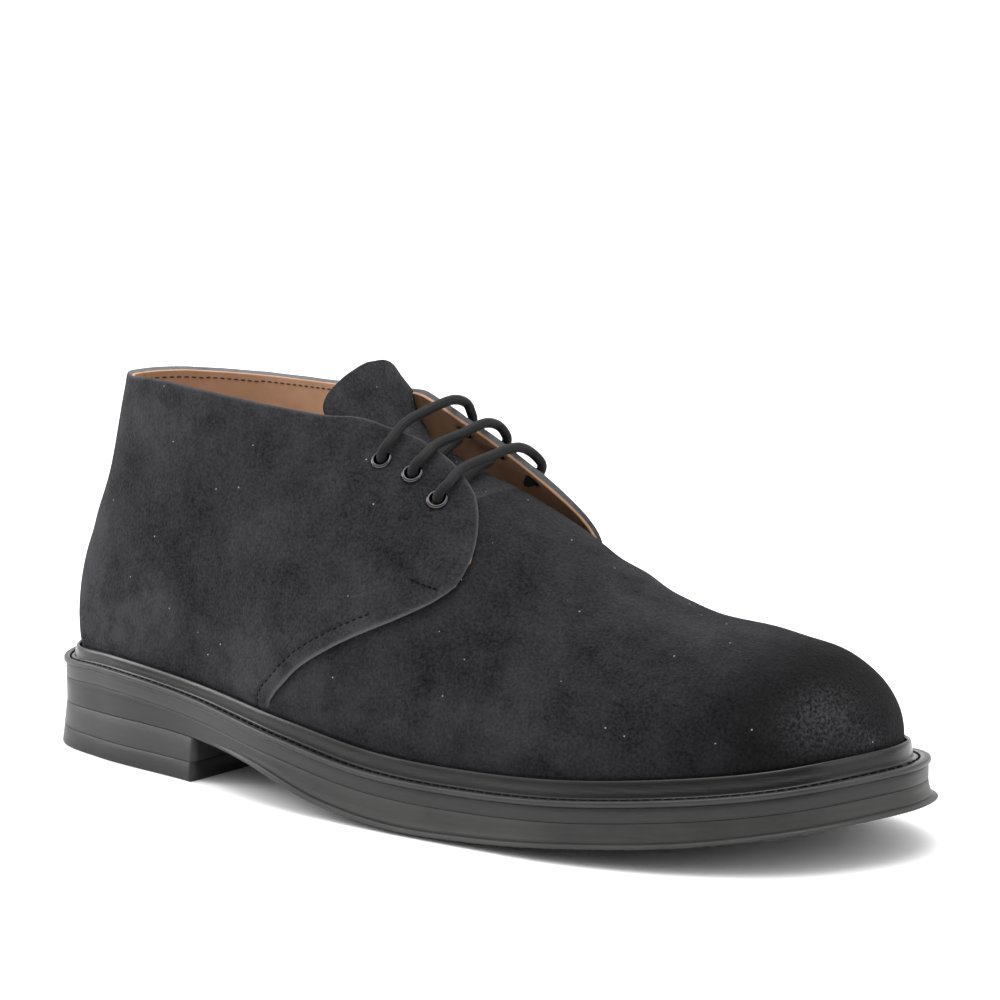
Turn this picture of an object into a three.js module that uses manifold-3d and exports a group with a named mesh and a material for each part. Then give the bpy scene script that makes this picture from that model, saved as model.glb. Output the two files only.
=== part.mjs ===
// Chukka boot, right foot, standing empty on its sole.
// Millimetres, +X to the toe, +Y to the inner side of the foot, +Z up.
// Working frame: x = 0 at the back of the heel seat, y = 0 on the heel's centre line, z = 0 on the ground.

import * as THREE from 'three';
import { mergeVertices } from 'three/addons/utils/BufferGeometryUtils.js';
import Module from 'manifold-3d';

const wasm = await Module();
wasm.setup();

// ---------------------------------------------------------------- driving sizes
const CENTRE = { x: 150.649, y: 0.973 };   // middle of the finished shoe's plan, moved to the origin
const GAP = 0.3;                         // clearance between neighbouring pieces
const WALL = 2.4;                        // suede and lining together
const PROUD = 1.7;                       // how far the quarter's front edge stands on the vamp
const WELT_THICK = 1.8;
const SEAT = 1.4;                        // the upper's lower edge lies this far below the rim's top
const LAP = 0.2;                         // the two quarters share this much across the back seam
const RIM_PROUD = 0.7;                   // the rim overhangs the midsole's side
const MIDSOLE_THICK = 4.2;
const INSOLE_THICK = 3;
const INSOLE_ROOM = 1.2;                 // clearance round the insole, inside the upper's wall
const TOP_PIECE_THICK = 5.7;
const HEEL_FRONT = 81;                   // breast of the heel
const HEEL_FLARE = 0.9;                  // the heel is this much wider at the ground
const FLANGE = 2.1;                      // the outsole's bottom edge runs out this far
const STUD_HEIGHT = 1;
const TONGUE_THICK = 2.4;
const TONGUE_SUNK = 1.2;                 // the tongue is stitched on below the vamp's face
const LACE = { wide: 2.6, sides: 8, step: 2.9 };
const EYELET = { bore: 2.1, wall: 0.25, flange: 3.2, deep: 2.3, hole: 2.65, sides: 10 };

// Eyelets, top one first, as seen from the side; side = -1 on the outer quarter and 1 on the inner one.
const EYELETS = [
  { name: 'eyelet_outer_1', side: -1, x: 137.1, z: 99.7 }, { name: 'eyelet_outer_2', side: -1, x: 147.9, z: 96.5 },
  { name: 'eyelet_outer_3', side: -1, x: 158.4, z: 90.2 }, { name: 'eyelet_inner_1', side: 1, x: 141, z: 105 },
  { name: 'eyelet_inner_2', side: 1, x: 152, z: 99.5 }, { name: 'eyelet_inner_3', side: 1, x: 162.5, z: 92 },
];
// A lace's way through an eyelet: along = towards the facing, high = above the quarter's face.
const THREADED = [
  { along: 4.4, high: 2.6 }, { along: 2.3, high: 2.75 }, { along: 0.7, high: 2 }, { along: 0, high: 0.2 },
  { along: 0, high: -1.6 }, { along: 0.7, high: -3.5 }, { along: 2.4, high: -4.35 },
];
// Free stretches of the three bars, top bar first, from the outer facing to the inner one.
const BARS = [
  [[137.9, -9.8, 109.3], [139, 0, 112.4], [140.3, 9.6, 115.2], [141, 15.9, 112.3]],
  [[148.9, -9.2, 103.8], [150.4, 2, 106.2], [151.5, 10.6, 109.2], [152, 17.4, 106.4]],
  [[159.5, -11.2, 97.7], [160.6, 0.2, 100.2], [161.8, 12.8, 102.6], [162.4, 20, 98.8]],
];
// Diagonals under the flaps, from each outer eyelet up to the next inner one.
const DIAGONALS = [
  [[147, -11, 96.6], [146.4, -4.6, 99.3], [144.6, 4, 102.2], [142.8, 9, 102.8]],
  [[157.5, -11.4, 91.2], [156.8, -5.5, 94.2], [155.2, 4, 96.8], [153.6, 10, 96.6]],
];

// Top of the welt's rim and underside of the outsole, seen from the side.
const RIM = [
  { x: 0, z: 26.2 }, { x: 40, z: 28.2 }, { x: 80, z: 25.4 }, { x: 120, z: 20.6 }, { x: 155, z: 16.2 },
  { x: 190, z: 15.6 }, { x: 220, z: 17.0 }, { x: 250, z: 19.6 }, { x: 275, z: 22.3 }, { x: 300, z: 26.2 },
];
const UNDER = [
  { x: 0, z: 13.2 }, { x: 80, z: 13.1 }, { x: 110, z: 10.4 }, { x: 140, z: 3.6 }, { x: 165, z: 1.0 },
  { x: 195, z: 1.6 }, { x: 230, z: 4.6 }, { x: 260, z: 7.6 }, { x: 300, z: 14 },
];
// Plan of the rim: how far it runs to the outer and the inner side at each length.
const PLAN = [
  { x: 3.5, outer: 14, inner: 17 }, { x: 15, outer: 28.3, inner: 29.5 }, { x: 38, outer: 36, inner: 36 },
  { x: 78, outer: 41.5, inner: 38.5 }, { x: 118, outer: 49.3, inner: 41.5 }, { x: 155, outer: 52.2, inner: 48 },
  { x: 190, outer: 52, inner: 53.3 }, { x: 228, outer: 49.4, inner: 54 }, { x: 262, outer: 37.6, inner: 49.5 },
  { x: 286, outer: 19.5, inner: 39 }, { x: 297.3, outer: -1.5, inner: 25.5 },
];
const TOE_TIP = { x: 300, y: 12.5 };
const HEEL_TIP = { x: 0, y: 1.5 };
// Width of the welt outside the upper, and height of its rib.
const WELT = [
  { x: 0, wide: 5.8, rib: 3.4 }, { x: 80, wide: 5.6, rib: 3.6 }, { x: 130, wide: 6.5, rib: 4.6 },
  { x: 200, wide: 7.2, rib: 4.7 }, { x: 300, wide: 7.4, rib: 4.8 },
];

// Side view of the last: top line from toe to shin, for the vamp and, lifted by the tongue, for the quarters.
const TOE_RIDGE = [
  { back: 0, z: 30 }, { back: 0.6, z: 36 }, { back: 3, z: 41.9 }, { back: 9, z: 48.6 }, { back: 20, z: 55 },
];
const RIDGE = [
  { x: 250, vamp: 58.7, outer: 59.5, inner: 59.5 }, { x: 225, vamp: 61.8, outer: 63.2, inner: 63.6 },
  { x: 200, vamp: 71.8, outer: 73.6, inner: 75 }, { x: 180, vamp: 83.4, outer: 86, inner: 90 },
  { x: 165, vamp: 90.5, outer: 95.3, inner: 100.4 }, { x: 150, vamp: 97, outer: 103.4, inner: 109.4 },
  { x: 135, vamp: 103.4, outer: 110, inner: 116.6 }, { x: 128, vamp: 107.2, outer: 114.4, inner: 120.8 },
  { x: 123.5, vamp: 112.2, outer: 118.8, inner: 125 }, { x: 121, vamp: 119, outer: 123, inner: 129 },
  { x: 119.5, vamp: 126, outer: 129, inner: 134 }, { x: 118, vamp: 136, outer: 142, inner: 147 },
];
// Back seam: how far it lies in front of the lowest point, and how the ankle narrows above the heel cup.
const BACK = [
  { z: 15, x: 0, width: 1, narrow: 0 }, { z: 31, x: 0, width: 1, narrow: 0 },
  { z: 38, x: -0.5, width: 0.985, narrow: 0.06 }, { z: 50, x: -0.8, width: 0.977, narrow: 0.13 },
  { z: 65, x: 1.6, width: 0.957, narrow: 0.2 }, { z: 85, x: 8.6, width: 0.931, narrow: 0.34 },
  { z: 105, x: 14.2, width: 0.936, narrow: 0.42 }, { z: 120, x: 18.4, width: 0.954, narrow: 0.45 },
  { z: 160, x: 28, width: 1.02, narrow: 0.45 },
];
// The ridge swings to the inner side towards the toe.
const SWING = [
  { x: 0, y: 1.5 }, { x: 60, y: 0 }, { x: 120, y: 0 }, { x: 170, y: 3 }, { x: 220, y: 8 }, { x: 293, y: 12.5 },
];
const FULLNESS = 1.8;                    // swell of the upper just above the welt
const SWELL_AT = 10;                     // height above the rib where that swell is greatest
// Sections of the form: collar to heel, heel to waist, waist to toe, and steps from the base to the ridge.
const STATIONS = { ankle: 8, waist: 12, forepart: 12, arch: 12 };
const FAN = { x: 196, z: 140 };          // behind this point the sections turn about it, up to the collar
const COLLAR_TURN = THREE.MathUtils.degToRad(90.5);

// Free edge of each quarter. The collar is cut straight across, as seen from the side ...
const OUTER_COLLAR = [
  { x: 16, z: 114.6 }, { x: 33, z: 115.5 }, { x: 55, z: 116.9 }, { x: 82, z: 115.3 }, { x: 104, z: 112.9 },
  { x: 120, z: 111.2 }, { x: 128, z: 112 }, { x: 134, z: 118 },
];
const INNER_COLLAR = [
  { x: 16, z: 114.6 }, { x: 33, z: 113 }, { x: 47, z: 112.5 }, { x: 72, z: 111.8 }, { x: 96, z: 112.2 },
  { x: 113, z: 113.3 }, { x: 122, z: 115.5 }, { x: 130, z: 121 },
];
// ... and the facing and the seam down to the welt as seen from 45 degrees above that side.
const OUTER_FRONT = [
  { x: 96, y: -14, z: 116 }, { x: 108, y: -18, z: 113 }, { x: 120, y: -17.4, z: 111.2 },
  { x: 128, y: -13.3, z: 109.8 }, { x: 139, y: -9.3, z: 106.6 }, { x: 146, y: -7.9, z: 103.8 },
  { x: 152, y: -8.1, z: 101 }, { x: 158, y: -9, z: 97.4 }, { x: 166, y: -11.9, z: 91.4 },
  { x: 172.8, y: -19.3, z: 82.9 }, { x: 175.4, y: -26.1, z: 75.5 }, { x: 174.5, y: -31.8, z: 69 },
  { x: 170.6, y: -35.4, z: 64.9 }, { x: 160.8, y: -40, z: 59.5 }, { x: 138.4, y: -44.7, z: 48.7 },
  { x: 126.8, y: -45.9, z: 41.6 }, { x: 118.4, y: -46.3, z: 33.7 }, { x: 110.5, y: -42.4, z: 24 },
  { x: 107, y: -45, z: 14 },
];
const INNER_FRONT = [
  { x: 90, y: 16, z: 116 }, { x: 102, y: 19, z: 114.5 }, { x: 114, y: 19.4, z: 113.4 },
  { x: 126, y: 14.8, z: 114 }, { x: 136, y: 11.4, z: 113 }, { x: 148.6, y: 10.8, z: 107.4 },
  { x: 160, y: 13, z: 100 }, { x: 170, y: 16, z: 92.6 }, { x: 176.8, y: 21.6, z: 84 },
  { x: 179, y: 28, z: 76 }, { x: 177.6, y: 33.4, z: 69.4 }, { x: 173.6, y: 37, z: 64.8 },
  { x: 163, y: 41, z: 58.8 }, { x: 141, y: 43, z: 48.4 }, { x: 129.5, y: 42, z: 41.4 },
  { x: 121.5, y: 40.5, z: 33.6 }, { x: 114, y: 36, z: 24 }, { x: 110, y: 36, z: 14 },
];
const FACING_FROM = 4;                   // row of the front tables where the collar has turned down the facing

// ---------------------------------------------------------------- rows into smooth curves
// Cubic through the rows; the slope at a row is the mean of its two chords, weighted by their lengths.
function cubic(t, ts, vs) {
  const last = ts.length - 2;
  let i = 0;
  while (i < last && t > ts[i + 1]) i++;
  const chord = (k) => (vs[k + 1] - vs[k]) / (ts[k + 1] - ts[k]);
  const slope = (k) => {
    if (k === 0) return chord(0);
    if (k === ts.length - 1) return chord(k - 1);
    const before = ts[k] - ts[k - 1];
    const after = ts[k + 1] - ts[k];
    return (chord(k - 1) * after + chord(k) * before) / (before + after);
  };
  const h = ts[i + 1] - ts[i];
  const s = Math.min(Math.max((t - ts[i]) / h, 0), 1);
  const step = (vs[i + 1] - vs[i]) * s * s * (3 - 2 * s);
  return vs[i] + step + h * s * (1 - s) * ((1 - s) * slope(i) - s * slope(i + 1));
}

function along(rows, from, to) {
  const ts = rows.map((row) => row[from]);
  const vs = rows.map((row) => row[to]);
  return (t) => cubic(t, ts, vs);
}

// Straight-line reading of a sampled curve whose first column rises.
function read(samples, t) {
  let low = 0;
  let high = samples.length - 1;
  while (high - low > 1) {
    const middle = (low + high) >> 1;
    if (samples[middle][0] <= t) low = middle;
    else high = middle;
  }
  const [a, b] = [samples[low], samples[high]];
  const s = Math.min(Math.max((t - a[0]) / (b[0] - a[0] || 1), 0), 1);
  return a[1] + (b[1] - a[1]) * s;
}

// Plane curve through rows of two columns, sampled evenly in the given power of the chord length.
function traced(points, count, power = 0.75) {
  const ts = [0];
  for (let i = 1; i < points.length; i++) {
    const length = Math.hypot(points[i][0] - points[i - 1][0], points[i][1] - points[i - 1][1]);
    ts.push(ts[i - 1] + length ** power);
  }
  const end = ts[ts.length - 1];
  const us = points.map((p) => p[0]);
  const vs = points.map((p) => p[1]);
  return Array.from({ length: count + 1 }, (_, i) => {
    const t = (end * i) / count;
    return [cubic(t, ts, us), cubic(t, ts, vs)];
  });
}

const rimTop = along(RIM, 'x', 'z');
const underside = along(UNDER, 'x', 'z');
const weltWide = along(WELT, 'x', 'wide');
const ribHigh = along(WELT, 'x', 'rib');
const seamX = along(BACK, 'z', 'x');
const ankleWidth = along(BACK, 'z', 'width');
const ankleNarrow = along(BACK, 'z', 'narrow');
const swing = along(SWING, 'x', 'y');

// ---------------------------------------------------------------- plan outlines
// Closed outline of the rim: from the toe tip down the outer side, round the heel and up the inner side.
const AROUND = 80;

function rimOutline(count) {
  const outer = PLAN.map((row) => [row.x, -row.outer]).reverse();
  const inner = PLAN.map((row) => [row.x, row.inner]);
  const loop = [[TOE_TIP.x, TOE_TIP.y], ...outer, [HEEL_TIP.x, HEEL_TIP.y], ...inner];
  const n = loop.length;
  const wrapped = [loop[n - 2], loop[n - 1], ...loop, loop[0], loop[1], loop[2]];
  const ts = [0];
  for (let i = 1; i < wrapped.length; i++) {
    const [a, b] = [wrapped[i - 1], wrapped[i]];
    ts.push(ts[i - 1] + Math.hypot(b[0] - a[0], b[1] - a[1]) ** 0.75);
  }
  const us = wrapped.map((p) => p[0]);
  const vs = wrapped.map((p) => p[1]);
  return Array.from({ length: count }, (_, i) => {
    const t = ts[2] + ((ts[2 + n] - ts[2]) * i) / count;
    return [cubic(t, ts, us), cubic(t, ts, vs)];
  });
}

// The outline moved inwards by a distance that may change along the shoe.
function inset(outline, distance) {
  const n = outline.length;
  return outline.map(([x, y], i) => {
    const [ax, ay] = outline[(i + n - 1) % n];
    const [bx, by] = outline[(i + 1) % n];
    const length = Math.hypot(bx - ax, by - ay);
    const d = typeof distance === 'function' ? distance(x) : distance;
    return [x + ((by - ay) / length) * d, y - ((bx - ax) / length) * d];
  });
}

const OUTLINE = rimOutline(AROUND);

// The fine outline split into its two sides, each rising from the heel to the toe: [x, y] pairs.
function sides(outline) {
  const n = outline.length;
  const toe = outline.reduce((best, p, i) => (p[0] > outline[best][0] ? i : best), 0);
  const turned = Array.from({ length: n + 1 }, (_, i) => outline[(toe + i) % n]);
  const heel = turned.reduce((best, p, i) => (p[0] < turned[best][0] ? i : best), 0);
  return { outer: turned.slice(0, heel + 1).reverse(), inner: turned.slice(heel) };
}

// ---------------------------------------------------------------- solids
function solidFrom(geometry) {
  geometry.deleteAttribute('normal');
  geometry.deleteAttribute('uv');
  const merged = mergeVertices(geometry, 1e-4);
  const index = merged.index.array;
  const corners = [];
  for (let i = 0; i < index.length; i += 3) {
    const [a, b, c] = [index[i], index[i + 1], index[i + 2]];
    if (a !== b && b !== c && a !== c) corners.push(a, b, c);
  }
  const mesh = new wasm.Mesh({
    numProp: 3,
    vertProperties: new Float32Array(merged.attributes.position.array),
    triVerts: new Uint32Array(corners),
  });
  return new wasm.Manifold(mesh);
}

// Triangles between rows of equal length; each row is a list of [x, y, z].
function quads(faces, rows) {
  for (let i = 0; i + 1 < rows.length; i++) {
    const [a, b] = [rows[i], rows[i + 1]];
    for (let j = 0; j + 1 < a.length; j++) {
      faces.push(a[j], a[j + 1], b[j]);
      faces.push(a[j + 1], b[j + 1], b[j]);
    }
  }
}

function geometryOf(triangleCorners) {
  const geometry = new THREE.BufferGeometry();
  geometry.setAttribute('position', new THREE.Float32BufferAttribute(triangleCorners.flat(), 3));
  return geometry;
}

// ---------------------------------------------------------------- the last
// A closed solid of the whole foot form, out = distance outside the upper's face (negative inside), and
// drop = how far its base lies under the rim's top.
// crest names the column of RIDGE that its top line follows; edge is the free edge that stands proud.
function lastForm({ out = 0, crest = 'vamp', edge = null, drop = SEAT }) {
  const outline = inset(rimOutline(720), (x) => weltWide(x) - out);
  const { outer, inner } = sides(outline);
  const heelX = outer[0][0];
  const toeX = outer[outer.length - 1][0];
  const seam = (z) => heelX + seamX(z);
  const ridge = ridgeCurve(crest, toeX, out);
  const ridgeByX = ridge.slice().sort((a, b) => a[0] - b[0]);
  const toFan = ([x, z]) => [Math.atan2(FAN.x - x, FAN.z - z), Math.hypot(x - FAN.x, z - FAN.z)];
  const rising = (a, b) => a[0] - b[0];
  const inFan = ridge.filter((p) => p[0] < FAN.x + 8).map(toFan).sort(rising);
  const boundary = (below) => {
    const low = Array.from({ length: 121 }, (_, i) => heelX + ((FAN.x + 8 - heelX) * i) / 120);
    const base = rimTop(heelX) - below;
    const high = Array.from({ length: 121 }, (_, i) => base + ((FAN.z + 12 - base) * i) / 120);
    const points = [...low.map((x) => [x, rimTop(x) - below]), ...high.map((z) => [seam(z), z])];
    return points.map(toFan).sort(rising);
  };
  const rimFan = boundary(0);
  const baseFan = boundary(drop);
  const front = edge ? edge.slice(FACING_FROM).map((p) => [p.z, p.x]).sort(rising) : null;

  function closeness(x, z) {
    if (x >= FAN.x) return (z - rimTop(x)) / (read(ridgeByX, x) - rimTop(x));
    const [turn, reach] = toFan([x, z]);
    const near = read(inFan, turn);
    const far = read(rimFan, turn);
    return (far - reach) / (far - near);
  }

  // Outer and inner y at a place of the side view: the plan outline, slid back with the heel seam, narrowed
  // over the ankle, swollen above the rib and drawn in to the ridge by a superellipse.
  function widths(x, z) {
    const q = Math.min(Math.max(closeness(x, z), 0), 1);
    const power = x < 120 ? 2.3 : 2.1 + 0.2 * Math.abs((x - 200) / (x < 200 ? 80 : 93));
    const arch = (1 - q ** power) ** (1 / power);
    const fade = Math.min(Math.max(1 - (x - heelX) / 150, 0), 1);
    const slid = Math.min(Math.max(x - (seam(z) - heelX) * fade, heelX), toeX);
    const ankle = 1 + (ankleWidth(z) - 1) * Math.min(Math.max(1 - (x - 60) / 110, 0), 1);
    const tail = Math.min(Math.max(1 - (x - seam(z)) / 75, 0), 1);
    const factor = ankle * (1 - ankleNarrow(z) * tail * tail) * arch;
    const rise = Math.max(z - rimTop(x) - ribHigh(x), 0);
    const ends = Math.sqrt(Math.min((slid - heelX) / 12, 1) * Math.min((toeX - slid) / 12, 1));
    let swell = (FULLNESS * rise * Math.exp(1 - rise / SWELL_AT)) / SWELL_AT;
    if (front) {
      const behind = Math.min(Math.max((x - read(front, z)) / 45 + 1, 0), 1);
      const above = Math.min(rise / 8, 1);
      swell += PROUD * behind * behind * (3 - 2 * behind) * above;
    }
    const centre = swing(x) * (1 - arch);
    return {
      outer: centre + read(outer, slid) * factor - swell * arch * ends,
      inner: centre + read(inner, slid) * factor + swell * arch * ends,
    };
  }

  // A place on a station's section: s runs from the base (0) to the ridge (1).
  function place(station, s) {
    if (station.x !== undefined) {
      const base = rimTop(station.x) - drop;
      return [station.x, base + (read(ridgeByX, station.x) - base) * s];
    }
    const reach = read(baseFan, station.turn) + (read(inFan, station.turn) - read(baseFan, station.turn)) * s;
    return [FAN.x - reach * Math.sin(station.turn), FAN.z - reach * Math.cos(station.turn)];
  }

  function solid() {
    const stations = [];
    const heel = toFan([heelX, rimTop(heelX) - drop])[0];
    for (let i = 0; i < STATIONS.ankle; i++) {
      stations.push({ turn: COLLAR_TURN + ((heel - COLLAR_TURN) * i) / STATIONS.ankle });
    }
    for (let i = 0; i < STATIONS.waist; i++) {
      const x = heelX + (FAN.x - heelX) * (1 - Math.cos((Math.PI / 2) * (i / STATIONS.waist)));
      stations.push({ turn: toFan([x, rimTop(x) - drop])[0] });
    }
    for (let i = 0; i <= STATIONS.forepart; i++) {
      stations.push({ x: FAN.x + (toeX - FAN.x) * Math.sin((Math.PI / 2) * (i / STATIONS.forepart)) });
    }
    const half = STATIONS.arch;
    const rows = stations.map((station) => {
      const row = [];
      for (let j = -half; j <= half; j++) {
        const [x, z] = place(station, (1 + Math.cos((Math.PI * j) / half)) / 2);
        const y = widths(x, z);
        row.push([x, j < 0 ? y.outer : y.inner, z]);
      }
      return row;
    });
    const top = rows[0];
    rows.reverse();
    const faces = [];
    quads(faces, rows);
    quads(faces, rows.map((row) => [row[row.length - 1], row[0]]));
    quads(faces, top.slice(0, half + 1).map((p, j) => [top[top.length - 1 - j], p]));
    return solidFrom(geometryOf(faces));
  }

  return { widths, place, solid, heelX, toeX, seam, ridge };
}

// Top line in the side view, moved out at right angles to itself.
function ridgeCurve(crest, toeX, out) {
  const full = toeX - out;
  const points = TOE_RIDGE.map((row) => [full - row.back, row.z]);
  points.push(...RIDGE.map((row) => [row.x, row[crest]]));
  const line = traced(points, 240, 0.7);
  return line.map(([x, z], i) => {
    const [ax, az] = line[Math.max(i - 1, 0)];
    const [bx, bz] = line[Math.min(i + 1, line.length - 1)];
    const length = Math.hypot(bx - ax, bz - az);
    return [x + ((bz - az) / length) * out, z - ((bx - ax) / length) * out];
  });
}

// Solid right across the shoe from a closed outline in the side view, between two values of y.
function sidePrism(points, from, to) {
  const shape = new THREE.Shape(points.map(([x, z]) => new THREE.Vector2(x, z)));
  const geometry = new THREE.ExtrudeGeometry(shape, { depth: to - from, bevelEnabled: false });
  geometry.rotateX(Math.PI / 2);
  geometry.translate(0, to, 0);
  return solidFrom(geometry);
}

// ---------------------------------------------------------------- rings round the sole
// A level is { inset, z }, both a number or a function of x; the rim's outline is moved in by inset.
function ring({ inset: distance, z }) {
  return inset(OUTLINE, distance).map(([x, y]) => [x, y, typeof z === 'function' ? z(x) : z]);
}

// Closed solid through rings from top to bottom; the end rings are closed straight across the shoe.
function slab(levels) {
  const rows = levels.map(ring);
  const faces = [];
  const looped = rows.map((row) => [...row, row[0]]);
  quads(faces, looped);
  const half = AROUND / 2;
  const across = (row) => Array.from({ length: half + 1 }, (_, i) => [row[i], row[(AROUND - i) % AROUND]]);
  quads(faces, across(rows[0]));
  quads(faces, across(rows[rows.length - 1]).map(([a, b]) => [b, a]));
  return solidFrom(geometryOf(faces));
}

// Endless moulding through rings that close on themselves, like the welt.
function moulding(levels) {
  const rows = levels.map(ring).map((row) => [...row, row[0]]).reverse();
  const faces = [];
  quads(faces, [...rows, rows[0]]);
  return solidFrom(geometryOf(faces));
}

const above = (f, height) => (x) => f(x) + height;

// Welt: flat rim with a rounded edge, a stitch groove, and a round-topped rib against the upper.
function makeWelt() {
  const rib = 2.3;
  const beside = (distance) => (x) => weltWide(x) - distance;
  const onRib = (part) => (x) => rimTop(x) + ribHigh(x) - part;
  const levels = [
    { inset: 0.4, z: above(rimTop, -WELT_THICK) },
    { inset: 0, z: above(rimTop, -WELT_THICK / 2) },
    { inset: 0.5, z: rimTop },
    { inset: beside(rib + 0.8), z: rimTop },
    { inset: beside(rib + 0.4), z: above(rimTop, -0.6) },
    { inset: beside(rib), z: above(rimTop, 0.2) },
    { inset: beside(rib - 0.5), z: onRib(0.25) },
    { inset: beside(rib / 2), z: onRib(0) },
    { inset: beside(GAP + 0.4), z: onRib(0.7) },
    { inset: beside(GAP + 0.4), z: above(rimTop, -WELT_THICK) },
  ];
  return moulding(levels);
}

const midsoleTop = above(rimTop, -WELT_THICK - GAP);
const midsoleUnder = above(midsoleTop, -MIDSOLE_THICK);
const outsoleTop = above(midsoleUnder, -GAP);

function makeMidsole() {
  return slab([
    { inset: RIM_PROUD, z: midsoleTop },
    { inset: RIM_PROUD, z: midsoleUnder },
  ]);
}

// The flange runs out along the forepart's bottom edge and dies away before the heel.
function flangeOut(x) {
  const t = Math.min(Math.max((x - HEEL_FRONT) / 50, 0), 1);
  return FLANGE * t * t * (3 - 2 * t);
}

function makeOutsole() {
  const body = slab([
    { inset: RIM_PROUD, z: outsoleTop },
    { inset: (x) => RIM_PROUD - 0.6 * flangeOut(x), z: above(underside, 1.5) },
    { inset: (x) => RIM_PROUD - flangeOut(x) * 1.3, z: above(underside, 0.9) },
    { inset: (x) => RIM_PROUD - flangeOut(x) * 1.2, z: above(underside, 0.3) },
    { inset: (x) => RIM_PROUD - flangeOut(x) * 0.9, z: underside },
  ]);
  return studPlaces().reduce((solid, [x, y]) => solid.add(stud(x, y)), body);
}

// Studs in rows across the forepart: one near each edge and evenly spaced ones between.
const STUD = { wide: 10, from: 145, to: 275, step: 26, edge: 11, apart: 30, level: 0.8 };

function studPlaces() {
  const { outer, inner } = sides(rimOutline(720));
  const places = [];
  for (let x = STUD.from; x <= STUD.to; x += STUD.step) {
    const low = read(outer, x) + STUD.edge;
    const high = read(inner, x) - STUD.edge;
    const count = Math.max(Math.round((high - low) / STUD.apart), 1);
    for (let i = 0; i <= count; i++) places.push([x, low + ((high - low) * i) / count]);
  }
  return places;
}

// Studs stand proud of the underside; those under the ball all end on the ground.
function studFoot(x) {
  const foot = underside(x) - STUD_HEIGHT;
  return foot < STUD.level ? 0 : foot;
}

function stud(x, y) {
  const foot = studFoot(x);
  const geometry = new THREE.CylinderGeometry(STUD.wide / 2, STUD.wide / 2 - 0.5, 4, 6);
  geometry.rotateX(Math.PI / 2);
  geometry.translate(x, y, foot + 2);
  return solidFrom(geometry);
}

// The heel's layers are cut from one flared block behind the breast.
function heelLayer(low, high) {
  const flare = (z) => RIM_PROUD - (HEEL_FLARE + RIM_PROUD) * (1 - z / 13);
  const block = slab([
    { inset: flare(high(0)), z: high },
    { inset: flare(low(0)), z: low },
  ]);
  const behind = new THREE.BoxGeometry(HEEL_FRONT + 20, 140, 40);
  behind.translate((HEEL_FRONT - 20) / 2, 0, 15);
  return block.intersect(solidFrom(behind));
}

// ---------------------------------------------------------------- upper
// Everything behind and under a quarter's free edge, on its own side of the shoe (side = -1 outer, 1 inner).
function quarterRegion(collar, front, side) {
  const top = traced(collar.map((row) => [row.x, row.z]), 24, 0.6);
  const fromSide = sidePrism([...top, [320, 118], [320, -10], [-30, -10], [-30, top[0][1]]], -120, 120);
  const line = traced(front.map((row) => [row.x, row.z - side * row.y]), 48, 0.6);
  const points = [...line, [line[line.length - 1][0], -70], [-30, -70], [-30, 160], [line[0][0], 160]];
  const shape = new THREE.Shape(points.map(([x, m]) => new THREE.Vector2(x, m)));
  const geometry = new THREE.ExtrudeGeometry(shape, { depth: 300, bevelEnabled: false });
  geometry.translate(0, 0, -150);
  const slant = new THREE.Matrix4();
  slant.set(1, 0, 0, 0, 0, -side / 2, -1, 0, 0, 0.5, -side, 0, 0, 0, 0, 1);
  geometry.applyMatrix4(slant);
  const half = new THREE.BoxGeometry(400, 120, 300);
  half.translate(150, HEEL_TIP.y + side * (60 - LAP), 50);
  return solidFrom(geometry).intersect(fromSide).intersect(solidFrom(half));
}

const QUARTERS = { outer: { crest: 'outer', edge: OUTER_FRONT }, inner: { crest: 'inner', edge: INNER_FRONT } };

// One hollow shell: the vamp from the toe to a line hidden under the quarters, and the two quarters.
const VAMP_BACK = [[165, 130], [165, 87], [150, 62], [125, 46], [104, 34], [92, 12]];

function makeUpper() {
  const vampSide = sidePrism([...VAMP_BACK, [320, 0], [320, 130]], -120, 120);
  const vamp = shell({}).intersect(vampSide);
  const outerRegion = quarterRegion(OUTER_COLLAR, OUTER_FRONT, -1);
  const innerRegion = quarterRegion(INNER_COLLAR, INNER_FRONT, 1);
  const outerQuarter = shell(QUARTERS.outer).intersect(outerRegion);
  const innerQuarter = shell(QUARTERS.inner).intersect(innerRegion);
  const body = vamp.add(outerQuarter).add(innerQuarter);
  const pierced = EYELETS.reduce((solid, eyelet) => solid.subtract(eyeletHole(eyelet)), body);
  const [whole] = pierced.decompose().sort((a, b) => b.volume() - a.volume());
  return whole;
}

function shell(form, wall = WALL) {
  const outside = lastForm(form).solid();
  const inside = lastForm({ ...form, out: (form.out ?? 0) - wall, drop: 2 * SEAT }).solid();
  return outside.subtract(inside);
}

// Tongue: carries the vamp's own surface on up to the collar, with a rounded top.
const TONGUE_SIDE = [[164.7, 140], [164.7, 87.1], [152, 66], [120, 82], [96, 92], [96, 140]];
const TONGUE_WIDTH = [
  { z: 60, half: 14 }, { z: 96, half: 14 }, { z: 106, half: 16 }, { z: 113, half: 17 },
  { z: 119, half: 13.5 }, { z: 122.6, half: 8.5 }, { z: 124.4, half: 4 }, { z: 125, half: 0 },
];

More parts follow.
